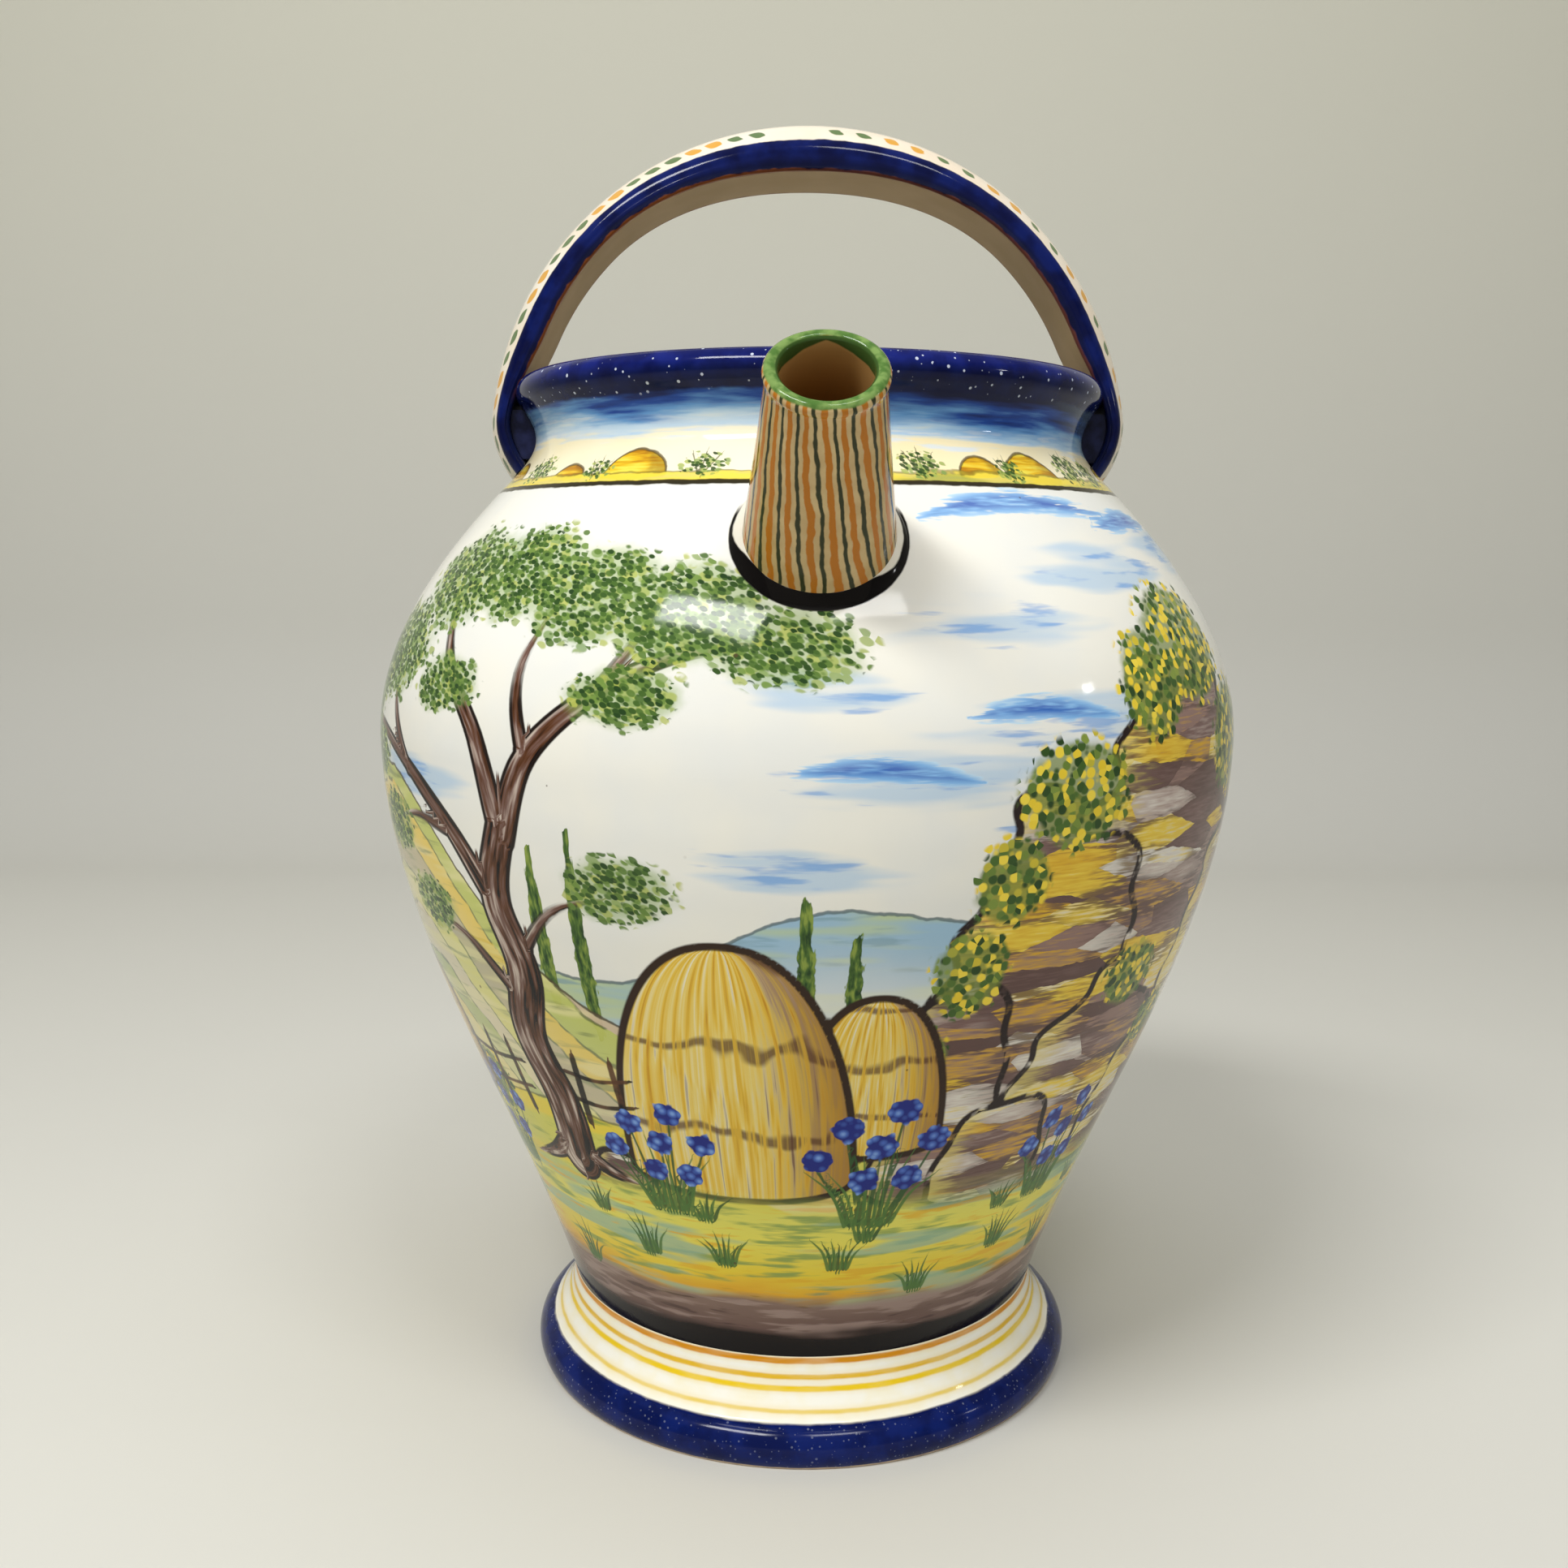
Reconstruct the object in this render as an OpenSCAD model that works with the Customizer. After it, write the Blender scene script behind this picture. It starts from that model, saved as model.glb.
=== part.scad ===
// Spouted wine jug in painted, tin-glazed earthenware.
// It is made of members that a potter throws or pulls one by one and lutes together with slip:
// foot, lower body, upper body, collar, spout with its root coil, and an arched handle with two root wads.
// The jug stands on the table at Z = 0 with its axis on Z, and the spout points towards -Y.

/* [Foot] */
// Widest radius of the foot, at the rounded bead
foot_r = 95; // [90:0.5:110]
// Height of the foot, from the table to the seam under the body
foot_h = 31; // [26:0.5:45]
// Radius of the rounded bead that the foot stands on
foot_bead_r = 8; // [7:0.1:9]
// Depth of the bead that is trimmed flat where it stands on the table
foot_trim = 3; // [2:0.1:4]
// Distance outside the middle of the bead at which the flared side of the foot meets it
foot_flare_r = 2.5; // [1:0.1:5]
// Radius lost per height at the bottom of the flared side
foot_flare_slope = 0.9; // [0.5:0.05:1.2]
// Inner radius of the ring that the foot stands on
foot_inner_r = 79; // [70:0.5:84]
// Inner radius of the foot at the seam under the body
foot_throat_r = 66; // [55:0.5:72]

/* [Body] */
// Outer radius at the seam above the foot
base_r = 82; // [76:0.5:90]
// Radius gained per height just above the foot
base_slope = 0.3; // [0.1:0.02:0.5]
// Widest outer radius, at the belly
belly_r = 143.5; // [125:0.5:160]
// Height of the belly, where the two thrown halves are luted
belly_z = 222; // [190:1:240]
// Thickness of the thrown wall
wall = 8; // [6:0.5:10]
// Thickness of the floor of the jug
floor_t = 9; // [7:0.5:14]
// Inside rounding between the floor and the wall
floor_fillet = 14; // [6:1:24]

/* [Collar] */
// Distance by which the seam between shoulder and collar stands outside the rim
collar_r = 5.4; // [1:0.2:12]
// Height of the seam between shoulder and collar
collar_z = 300; // [290:0.5:305]
// Radius lost per height where the shoulder runs into the collar
shoulder_slope = 0.95; // [0.7:0.05:1.2]
// Distance by which the neck, the narrowest place, draws in from the rim
neck_r = 6.3; // [3:0.1:10]
// Height of the neck above the seam
neck_z = 17; // [12:0.5:22]
// Widest outer radius of the rolled rim
rim_r = 97.8; // [95:0.2:104]
// Height of the top of the rim above the seam
rim_z = 37.4; // [34:0.2:45]
// Radius of the rolled rim's section
rim_bead_r = 5.6; // [4.5:0.1:6]

/* [Spout] */
// Tilt of the spout from upright
spout_tilt = 45; // [38:1:52]
// Depth below the collar seam at which the axis of the spout meets the shoulder
spout_root_z = 14.5; // [13:0.5:24]
// Length of the spout along its axis, from the shoulder to the lip
spout_len = 55; // [40:1:75]
// Outer radius of the spout where it meets the shoulder
spout_root_r = 20.8; // [19:0.2:26]
// Outer radius of the spout just under its lip
spout_lip_r = 14.8; // [14:0.1:18]
// Radius of the bore of the spout
spout_bore_r = 11.8; // [9:0.2:12]
// Radius of the section of the rolled lip
spout_roll_r = 2.1; // [1.6:0.1:2.5]
// Thickness of the tenon that enters the hole in the shoulder
tenon_wall = 3; // [2:0.2:4]
// Width of the clay coil pressed round the root of the spout
coil_w = 3; // [2:0.2:5]
// Height of that coil above the shoulder
coil_h = 2.4; // [1.5:0.1:4]

/* [Handle] */
// Height of the crown of the arch above the collar seam
handle_top = 120; // [95:1:150]
// Distance by which the crown of the legs stands outside the rim
handle_span = 9.2; // [7.2:0.2:14]
// Height above the collar seam at which the arch is widest
handle_spring_z = 14; // [10:1:18]
// Width of the strap, front to back
handle_w = 32; // [24:1:40]
// Thickness of the strap at its flat front and back edges
handle_edge = 7.8; // [6:0.2:10]
// Height of the domed crown above those edges
handle_crown = 9.6; // [5:0.2:12]
// Rounding of the two inner edges of the strap
handle_round = 1.2; // [0.6:0.2:2]
// Share of the thickness of the strap that is left at its haunches
haunch_share = 0.74; // [0.6:0.02:1]
// Share of the thickness of the strap that is left at its roots
root_share = 0.46; // [0.42:0.02:0.55]
// Height above the collar seam below which the legs draw in to the shoulder
curl_z = 26; // [22:1:30]
// Radius at which they draw in
curl_r = 35; // [30:1:45]
// Width of the clay wad pressed in behind the root of each leg, front to back
wad_w = 27; // [18:1:32]
// Thickness of clay that the wad is pressed from
wad_t = 9; // [8:0.5:12]
// Height of the top of the wad above the seam between shoulder and collar
wad_h = 15; // [13:0.5:18]

/* [Luted seams] */
// Width of the key ring that locates one thrown member on the next
key_w = 3; // [2:0.2:4]
// Height of the key ring
key_h = 2.5; // [1.5:0.1:4]
// Room left for the slip that glues a key or a tenon
slip = 0.2; // [0.1:0.05:0.4]

/* [Hidden] */
$fn = 96;
glaze_white = "ivory";
cobalt_blue = "midnightblue";
copper_green = "olivedrab";
// Number of straight bands that stand for each curved stretch of a profile
bands = 24;
bead_bands = 14;
// Height difference used to measure the slope of the profile
probe = 0.25;
// Length by which a cut runs past the clay that it goes through
past = 30;

// The bead under the foot
foot_bead_cr = foot_r - foot_bead_r;
foot_bead_cz = foot_bead_r - foot_trim;
foot_flare_at = foot_bead_cr + foot_flare_r;
foot_flare_z = foot_bead_cz + sqrt(pow(foot_bead_r, 2) - pow(foot_flare_r, 2));
foot_flare_angle = acos(foot_flare_r / foot_bead_r);
foot_stand_angle = -asin(foot_bead_cz / foot_bead_r);

// The rolled rim, which the flare of the collar runs into at rim_join_angle below its widest point
rim_join_angle = 40;
rim_end_angle = 200;
neck_at = collar_z + neck_z;
neck_narrow = rim_r - neck_r;
seam_r = rim_r + collar_r;
rim_at = collar_z + rim_z;
rim_cr = rim_r - rim_bead_r;
rim_cz = rim_at - rim_bead_r;
lip_r = rim_cr + rim_bead_r * cos(rim_join_angle);
lip_z = rim_cz - rim_bead_r * sin(rim_join_angle);
lip_slope = tan(rim_join_angle);

// The inside of the jug
floor_z = foot_h + floor_t;
foot_key_r = (base_r + foot_throat_r) / 2;

// The spout: the bore trims the inside of the rolled lip by a little
roll_trim = 0.2;
roll_cr = spout_bore_r + spout_roll_r - roll_trim;
roll_at = spout_len - spout_roll_r;
spout_root_h = collar_z - spout_root_z;
spout_root_at = body_r(spout_root_h);
tenon_r = spout_bore_r + tenon_wall;
spout_taper = (spout_root_r - spout_lip_r) / roll_at;

// The handle: the arch is swept between these angles from its crown, and the wads sit behind its legs
handle_half = rim_r + handle_span;
handle_rise = handle_top - handle_spring_z;
handle_end_angle = acos((-handle_edge - handle_spring_z) / handle_rise);
handle_rings = 60;
dome_steps = 8;
wad_top_angle = acos((wad_h - handle_spring_z) / handle_rise);
wad_rings = 8;
// The strap thins from its crown to its haunches, and again on its legs, between these angles
haunch_angle = 45;
leg_angle = 66;
root_angle = 86;

// A list of evenly spaced numbers
function spread(from, to, count) = [for (i = [0 : count]) from + (to - from) * i / count];

// Radius of a smooth curve between two heights, from the radius and the slope at both ends
function curve_r(z, z0, r0, m0, z1, r1, m1) =
    let (h = z1 - z0, t = (z - z0) / h)
    (1 + 2 * t) * pow(1 - t, 2) * r0 + t * pow(1 - t, 2) * h * m0
    + t * t * (3 - 2 * t) * r1 + t * t * (t - 1) * h * m1;

// Outer radius of the thrown wall at a height
function body_r(z) =
    z < belly_z ? curve_r(z, foot_h, base_r, base_slope, belly_z, belly_r, 0)
    : z < collar_z ? curve_r(z, belly_z, belly_r, 0, collar_z, seam_r, -shoulder_slope)
    : z < neck_at ? curve_r(z, collar_z, seam_r, -shoulder_slope, neck_at, neck_narrow, 0)
    : curve_r(z, neck_at, neck_narrow, 0, lip_z, lip_r, lip_slope);

// Change of that radius with height
function body_slope(z) = (body_r(z + probe) - body_r(z - probe)) / (2 * probe);

// Radius of the surface that lies a depth inside the wall, measured square to it
function inner_r(z, depth) = body_r(z) - depth * sqrt(1 + pow(body_slope(z), 2));

// Outline points up or down a curved stretch of the wall
function wall_points(z0, z1, depth) = [for (z = spread(z0, z1, bands)) [inner_r(z, depth), z]];

// Outline points round a bead
function bead_points(cr, cz, r, a0, a1) =
    [for (a = spread(a0, a1, bead_bands)) [cr + r * cos(a), cz + r * sin(a)]];

// Outline points of a key ring, from its outside to its inside, with room round it in a groove
function key_points(r, z, room) =
    [[r + key_w / 2 + room, z],
     [r + key_w / 2 + room, z + key_h + room],
     [r - key_w / 2 - room, z + key_h + room],
     [r - key_w / 2 - room, z]];

// The same points from the inside to the outside
function turned(points) = [for (i = [len(points) - 1 : -1 : 0]) points[i]];

// Middle of the wall at a seam
function mid_r(z) = inner_r(z, wall / 2);

module thrown(points) {
    rotate_extrude() polygon(points);
}

// Everything inside the outer surface of the body and collar, moved out by a height
module filled_body(out) {
    thrown(concat(
        [[0, foot_h]],
        wall_points(foot_h, belly_z, -out),
        wall_points(belly_z, collar_z, -out),
        wall_points(collar_z, neck_at, -out),
        wall_points(neck_at, lip_z, -out),
        bead_points(rim_cr, rim_cz, rim_bead_r + out, -rim_join_angle, 90),
        [[0, rim_at + out]]));
}

// Everything inside the wall of the body
module filled_inside() {
    thrown(concat(
        [[0, belly_z]],
        wall_points(belly_z, collar_z, wall),
        [[0, collar_z]]));
}

// Places a shape made along Z on the axis of the spout, with Z = 0 where it meets the shoulder
module on_spout_axis() {
    translate([0, -spout_root_at, spout_root_h]) rotate([spout_tilt, 0, 0]) children();
}

// The tapered outside of the spout, with room round it
module spout_cone(room) {
    on_spout_axis() translate([0, 0, -past])
        cylinder(h = roll_at + past,
                 r1 = spout_root_r + spout_taper * past + room,
                 r2 = spout_lip_r + room);
}

// A straight cylinder on the axis of the spout
module spout_core(r, from, to) {
    on_spout_axis() translate([0, 0, from]) cylinder(h = to - from, r = r);
}

module foot() {
    color(cobalt_blue) thrown(concat(
        [[foot_inner_r, 0]],
        bead_points(foot_bead_cr, foot_bead_cz, foot_bead_r, foot_stand_angle, foot_flare_angle),
        [for (z = spread(foot_flare_z, foot_h, bead_bands))
            if (z > foot_flare_z)
            [curve_r(z, foot_flare_z, foot_flare_at, -foot_flare_slope, foot_h, base_r, 0), z]],
        key_points(foot_key_r, foot_h, 0),
        [[foot_throat_r, foot_h]]));
}

module lower_body() {
    fillet_z = floor_z + floor_fillet;
    fillet_r = inner_r(fillet_z, wall);
    color(glaze_white) thrown(concat(
        [[0, foot_h]],
        turned(key_points(foot_key_r, foot_h, slip)),
        wall_points(foot_h, belly_z, 0),
        key_points(mid_r(belly_z), belly_z, 0),
        wall_points(belly_z, fillet_z, wall),
        [for (a = spread(0, -90, bead_bands))
            if (a < 0)
            [fillet_r - floor_fillet + floor_fillet * cos(a), fillet_z + floor_fillet * sin(a)]],
        [[0, floor_z]]));
}

module upper_body() {
    color(glaze_white) difference() {
        thrown(concat(
            turned(key_points(mid_r(belly_z), belly_z, slip)),
            wall_points(belly_z, collar_z, 0),
            key_points(mid_r(collar_z), collar_z, 0),
            wall_points(collar_z, belly_z, wall)));
        spout_core(tenon_r + slip, -past, past);
    }
}

module collar() {
    color(cobalt_blue) thrown(concat(
        turned(key_points(mid_r(collar_z), collar_z, slip)),
        wall_points(collar_z, neck_at, 0),
        wall_points(neck_at, lip_z, 0),
        bead_points(rim_cr, rim_cz, rim_bead_r, -rim_join_angle, rim_end_angle),
        wall_points(neck_at, collar_z, wall)));
}

module spout() {
    color(copper_green) difference() {
        union() {
            spout_cone(0);
            // Rolled lip
            on_spout_axis() translate([0, 0, roll_at])
                rotate_extrude() translate([roll_cr, 0]) circle(r = spout_roll_r);
        }
        // All of the body but the hole that the tenon fills
        difference() {
            filled_body(0);
            spout_core(tenon_r, -past, past);
        }
        filled_inside();
        spout_core(spout_bore_r, -past - slip, spout_len + past);
    }
}

module spout_coil() {
    color(cobalt_blue) difference() {
        intersection() {
            spout_cone(coil_w);
            filled_body(coil_h);
        }
        filled_body(0);
        spout_cone(0);
    }
}

// Crown of the arch at an angle from its top, in the plane of the arch
function crown_point(a) =
    let (h = handle_spring_z + handle_rise * cos(a),
         drawn = max(0, curl_z - h))
    [handle_half * sin(a) - sign(a) * drawn * drawn / (2 * curl_r), collar_z + h];

// Direction square to the arch, outwards
function crown_normal(a) =
    let (step = 0.5, d = crown_point(a + step) - crown_point(a - step))
    [-d.y, d.x] / norm(d);

// A smooth step from 0 to 1
function ease(t) = t < 0 ? 0 : t > 1 ? 1 : t * t * (3 - 2 * t);

// Share of the full thickness that is left at an angle
function strap_share(a) =
    1 - (1 - haunch_share) * ease(abs(a) / haunch_angle)
    - (haunch_share - root_share) * ease((abs(a) - leg_angle) / (root_angle - leg_angle));

// Section of the strap: how far out from the crown, and how far to the back
function strap_section(a) =
    let (share = strap_share(a),
         inside = -(handle_edge + handle_crown) * share,
         dome = handle_crown * share,
         half = handle_w / 2)
    concat(
        [[inside, -half + handle_round], [inside, half - handle_round], [inside + handle_round, half]],
        [for (y = spread(half, -half, dome_steps)) [-dome * pow(y / half, 2), y]],
        [[inside + handle_round, -half]]);

// Section of the clay behind a leg, which is pressed against the strap as deep as its edges are rounded
function wad_section(a) =
    let (inside = -(handle_edge + handle_crown) * strap_share(a), half = wad_w / 2)
    [[inside - wad_t, -half], [inside - wad_t, half],
     [inside + handle_round, half], [inside + handle_round, -half]];

// A section placed on the arch
function placed(section, a) =
    let (p = crown_point(a), n = crown_normal(a))
    [for (s = section) [p.x + n.x * s.x, s.y, p.y + n.y * s.x]];

// A solid through a row of sections that all have the same number of points
module swept(rows) {
    count = len(rows[0]);
    last = (len(rows) - 1) * count;
    polyhedron(
        points = [for (row = rows) each row],
        faces = concat(
            [for (i = [2 : count - 1]) [0, i - 1, i]],
            [for (i = [2 : count - 1]) [last, last + i, last + i - 1]],
            [for (k = [0 : len(rows) - 2], i = [0 : count - 1])
                let (j = (i + 1) % count, a = k * count, b = a + count)
                each [[a + i, b + i, b + j], [a + i, b + j, a + j]]]));
}

// The whole strap, with legs that run on into the body
module strap() {
    swept([for (a = spread(-handle_end_angle, handle_end_angle, handle_rings))
        placed(strap_section(a), a)]);
}

module handle() {
    color(cobalt_blue) difference() {
        strap();
        filled_body(0);
    }
}

// Clay behind the leg on the +X side
module handle_wad() {
    color(glaze_white) difference() {
        swept([for (a = spread(wad_top_angle, handle_end_angle, wad_rings))
            placed(wad_section(a), a)]);
        filled_body(0);
        strap();
    }
}

module handle_wad_left() {
    mirror([1, 0, 0]) handle_wad();
}

module handle_wad_right() {
    handle_wad();
}

foot();
lower_body();
upper_body();
collar();
spout();
spout_coil();
handle();
handle_wad_left();
handle_wad_right();
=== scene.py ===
"""Looks for a spouted wine jug in painted, tin-glazed earthenware.

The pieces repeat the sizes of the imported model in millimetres, with finer surfaces.
All the paint is made of node patterns, laid out in millimetres round and up the jug.
"""
import math

import bmesh
import bpy
import numpy as np
from mathutils import Matrix, Vector


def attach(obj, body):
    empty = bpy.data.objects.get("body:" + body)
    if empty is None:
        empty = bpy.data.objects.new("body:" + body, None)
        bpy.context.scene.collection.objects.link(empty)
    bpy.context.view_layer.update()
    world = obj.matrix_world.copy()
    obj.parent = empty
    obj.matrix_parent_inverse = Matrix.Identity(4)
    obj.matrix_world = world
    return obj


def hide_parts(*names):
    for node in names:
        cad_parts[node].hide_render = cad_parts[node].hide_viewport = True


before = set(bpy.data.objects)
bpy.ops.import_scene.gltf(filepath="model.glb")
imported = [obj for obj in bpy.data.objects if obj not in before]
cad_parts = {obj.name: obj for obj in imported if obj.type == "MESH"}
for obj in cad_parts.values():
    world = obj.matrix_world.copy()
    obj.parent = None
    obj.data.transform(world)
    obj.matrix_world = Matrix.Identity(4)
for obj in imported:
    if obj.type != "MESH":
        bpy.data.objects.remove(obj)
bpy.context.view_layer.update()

MM = 0.001

# Sizes of the jug in millimetres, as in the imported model
FOOT_R = 95.0
FOOT_H = 31.0
FOOT_BEAD_R = 8.0
FOOT_TRIM = 3.0
FOOT_FLARE_OUT = 2.5
FOOT_FLARE_SLOPE = 0.9
FOOT_INNER_R = 79.0
FOOT_THROAT_R = 66.0
BASE_R = 82.0
BASE_SLOPE = 0.3
BELLY_R = 143.5
BELLY_Z = 222.0
WALL = 8.0
FLOOR_T = 9.0
FLOOR_FILLET = 14.0
SEAM_R = 103.2
COLLAR_Z = 300.0
SHOULDER_SLOPE = 0.95
NECK_R = 91.5
NECK_Z = 317.0
RIM_R = 97.8
RIM_Z = 337.4
RIM_BEAD_R = 5.6
RIM_JOIN = math.radians(40)
RIM_END = math.radians(200)
SPOUT_TILT = math.radians(45)
SPOUT_ROOT_Z = 285.5
SPOUT_LEN = 55.0
SPOUT_ROOT_R = 20.8
SPOUT_LIP_R = 14.8
SPOUT_BORE_R = 11.8
SPOUT_ROLL_R = 2.1
ROLL_TRIM = 0.2
ROLL_INSET = 0.02
TENON_WALL = 3.0
COIL_W = 3.0
COIL_H = 2.4
HANDLE_TOP = 420.0
HANDLE_HALF = 107.0
HANDLE_SPRING_Z = 314.0
HANDLE_W = 32.0
HANDLE_EDGE = 7.8
HANDLE_CROWN = 9.6
HANDLE_ROUND = 1.2
EDGE_BULGE = 0.35
HANDLE_CORNER = 6.5
HAUNCH_SHARE = 0.74
ROOT_SHARE = 0.46
HAUNCH_ANGLE = math.radians(45)
LEG_ANGLE = math.radians(66)
ROOT_ANGLE = math.radians(86)
CURL_Z = 326.0
CURL_R = 35.0
WAD_W = 27.0
WAD_H = 28.0
WAD_TURN = math.radians(14)
WAD_ROOM = 0.05
KEY_W = 3.0
KEY_H = 2.5
SLIP = 0.2

# Values that follow from them
FOOT_BEAD_CR = FOOT_R - FOOT_BEAD_R
FOOT_BEAD_CZ = FOOT_BEAD_R - FOOT_TRIM
FOOT_FLARE_R = FOOT_BEAD_CR + FOOT_FLARE_OUT
FOOT_FLARE_Z = FOOT_BEAD_CZ + math.sqrt(FOOT_BEAD_R ** 2 - FOOT_FLARE_OUT ** 2)
FOOT_KEY_R = (BASE_R + FOOT_THROAT_R) / 2
FLOOR_Z = FOOT_H + FLOOR_T
RIM_CR = RIM_R - RIM_BEAD_R
RIM_CZ = RIM_Z - RIM_BEAD_R
LIP_R = RIM_CR + RIM_BEAD_R * math.cos(RIM_JOIN)
LIP_Z = RIM_CZ - RIM_BEAD_R * math.sin(RIM_JOIN)
ROLL_CR = SPOUT_BORE_R + SPOUT_ROLL_R - ROLL_TRIM
ROLL_AT = SPOUT_LEN - SPOUT_ROLL_R
SPOUT_TAPER = (SPOUT_ROOT_R - SPOUT_LIP_R) / ROLL_AT
TENON_R = SPOUT_BORE_R + TENON_WALL
HANDLE_RISE = HANDLE_TOP - HANDLE_SPRING_Z
HANDLE_THICK = HANDLE_EDGE + HANDLE_CROWN

# Painted lengths round the jug are measured at this radius
PAINT_R = 120.0
ROUND = 2 * math.pi * PAINT_R

# Fineness of the meshes: points round the jug, the spout and its hole, sharp corners in degrees, steps of
# the arch, and in metres how near points merge and how short an edge is dropped
COLUMNS = 640
SPOUT_COLUMNS = 128
HOLE_COLUMNS = 72
SHARP_CORNER = 38
HANDLE_SHARP = 50
HANDLE_STEPS = 241
MERGE_REACH = 0.00001
SLIVER = 0.000001


def curve_r(z, z0, r0, m0, z1, r1, m1):
    """Radius of a smooth curve between two heights, from the radius and slope at both ends."""
    h = z1 - z0
    t = (z - z0) / h
    ends = (1 + 2 * t) * (1 - t) ** 2 * r0 + t * t * (3 - 2 * t) * r1
    return ends + t * (1 - t) ** 2 * h * m0 + t * t * (t - 1) * h * m1


def body_r(z):
    """Outer radius of the thrown wall at a height."""
    z = np.asarray(z, float)
    low = curve_r(z, FOOT_H, BASE_R, BASE_SLOPE, BELLY_Z, BELLY_R, 0)
    high = curve_r(z, BELLY_Z, BELLY_R, 0, COLLAR_Z, SEAM_R, -SHOULDER_SLOPE)
    neck = curve_r(z, COLLAR_Z, SEAM_R, -SHOULDER_SLOPE, NECK_Z, NECK_R, 0)
    lip = curve_r(z, NECK_Z, NECK_R, 0, LIP_Z, LIP_R, math.tan(RIM_JOIN))
    return np.where(z < BELLY_Z, low, np.where(z < COLLAR_Z, high, np.where(z < NECK_Z, neck, lip)))


def body_slope(z):
    """Change of that radius with height."""
    probe = 0.25
    return (body_r(z + probe) - body_r(z - probe)) / (2 * probe)


def inner_r(z, depth):
    """Radius of the surface that lies a depth inside the wall."""
    return body_r(z) - depth * np.sqrt(1 + body_slope(z) ** 2)


def hand_thrown(a, z):
    """Inward unevenness of the thrown wall, in millimetres, round and up the jug."""
    sway = 0.5 + 0.5 * np.sin(2 * a + 0.6 + z * 0.006)
    dent = 0.5 + 0.5 * np.sin(3 * a - 1.0 + z * 0.017)
    ridge = 0.5 + 0.5 * np.sin(z * 0.42 + 0.8 * np.sin(a))
    return -0.30 * sway - 0.16 * dent - 0.05 * ridge


def wall_rows(z0, z1, depth, count):
    """Outline points up or down a stretch of the wall."""
    z = np.linspace(z0, z1, count + 1)
    return list(zip(inner_r(z, depth), z))


def bead_rows(cr, cz, r, a0, a1, count):
    """Outline points round a bead."""
    a = np.linspace(a0, a1, count + 1)
    return list(zip(cr + r * np.cos(a), cz + r * np.sin(a)))


def line_rows(start, end, count):
    """Outline points on a straight line, without its ends."""
    t = np.linspace(0, 1, count + 2)[1:-1]
    return [(start[0] + (end[0] - start[0]) * k, start[1] + (end[1] - start[1]) * k) for k in t]


def key_rows(r, z, room):
    """Outline points of a key ring, from its outside to its inside."""
    half = KEY_W / 2 + room
    top = z + KEY_H + room
    return [(r + half, z), (r + half, top), (r - half, top), (r - half, z)]


def mid_r(z):
    """Middle of the wall at a seam."""
    return float(inner_r(z, WALL / 2))


def make_object(name, points, faces, corner=SHARP_CORNER, **fields):
    """A mesh object from points in millimetres, with fields of numbers for the nodes."""
    mesh = bpy.data.meshes.new(name)
    mesh.from_pydata((np.asarray(points) * MM).tolist(), [], faces)
    piece = bpy.data.objects.new(name, mesh)
    bpy.context.scene.collection.objects.link(piece)
    for field, values in fields.items():
        add_field(piece, field, values)
    tidy_mesh(piece, corner)
    return piece


def tidy_mesh(piece, corner=SHARP_CORNER):
    """Merges doubled points, turns the faces outwards and shades them smooth up to sharp corners."""
    mesh = piece.data
    work = bmesh.new()
    work.from_mesh(mesh)
    bmesh.ops.remove_doubles(work, verts=work.verts, dist=MERGE_REACH)
    bmesh.ops.dissolve_degenerate(work, edges=work.edges, dist=SLIVER)
    bmesh.ops.recalc_face_normals(work, faces=work.faces)
    work.to_mesh(mesh)
    work.free()
    mesh.polygons.foreach_set("use_smooth", [True] * len(mesh.polygons))
    mesh.set_sharp_from_angle(angle=math.radians(corner))
    mesh.update()


def grid_faces(rows, columns, wrap_rows):
    """Faces of a grid of points whose columns close into rings."""
    faces = []
    for i in range(rows if wrap_rows else rows - 1):
        below = i * columns
        above = ((i + 1) % rows) * columns
        for j in range(columns):
            k = (j + 1) % columns
            faces.append((below + j, below + k, above + k, above + j))
    return faces


def capped_faces(rows, columns):
    """Faces of a grid that doesn't close, with one more over each end."""
    last = (rows - 1) * columns
    ends = [tuple(range(columns)), tuple(last + i for i in reversed(range(columns)))]
    return grid_faces(rows, columns, False) + ends


def looped(name, rows):
    """A piece from rings of points that close into a loop."""
    grid = np.array(rows)
    return make_object(name, grid.reshape(-1, 3), grid_faces(len(rows), grid.shape[1], True))


def ring_angles(count):
    """Even angles round a circle, from the back."""
    return -math.pi + 2 * math.pi * np.arange(count) / count


def thrown(name, outline):
    """A piece turned about Z from an outline, which closes on itself or starts and ends on the axis."""
    outline = np.array(outline, float)
    poles = outline[0, 0] == 0
    rings = outline[1:-1] if poles else outline
    a = ring_angles(COLUMNS)
    r = rings[:, :1] + 0 * a
    z = rings[:, 1:] + 0 * a
    r = r + hand_thrown(a, z) * (r > FOOT_THROAT_R)
    points = np.stack([r * np.sin(a), -r * np.cos(a), z], -1).reshape(-1, 3)
    faces = grid_faces(len(rings), COLUMNS, not poles)
    if poles:
        first = len(points)
        points = np.vstack([points, [0, 0, outline[0, 1]], [0, 0, outline[-1, 1]]])
        top = (len(rings) - 1) * COLUMNS
        for j in range(COLUMNS):
            k = (j + 1) % COLUMNS
            faces.append((first, k, j))
            faces.append((first + 1, top + j, top + k))
    return make_object(name, points, faces)


def mesh_points(piece):
    """The points of a piece, in millimetres."""
    flat = np.empty(len(piece.data.vertices) * 3)
    piece.data.vertices.foreach_get("co", flat)
    return flat.reshape(-1, 3) / MM


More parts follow.
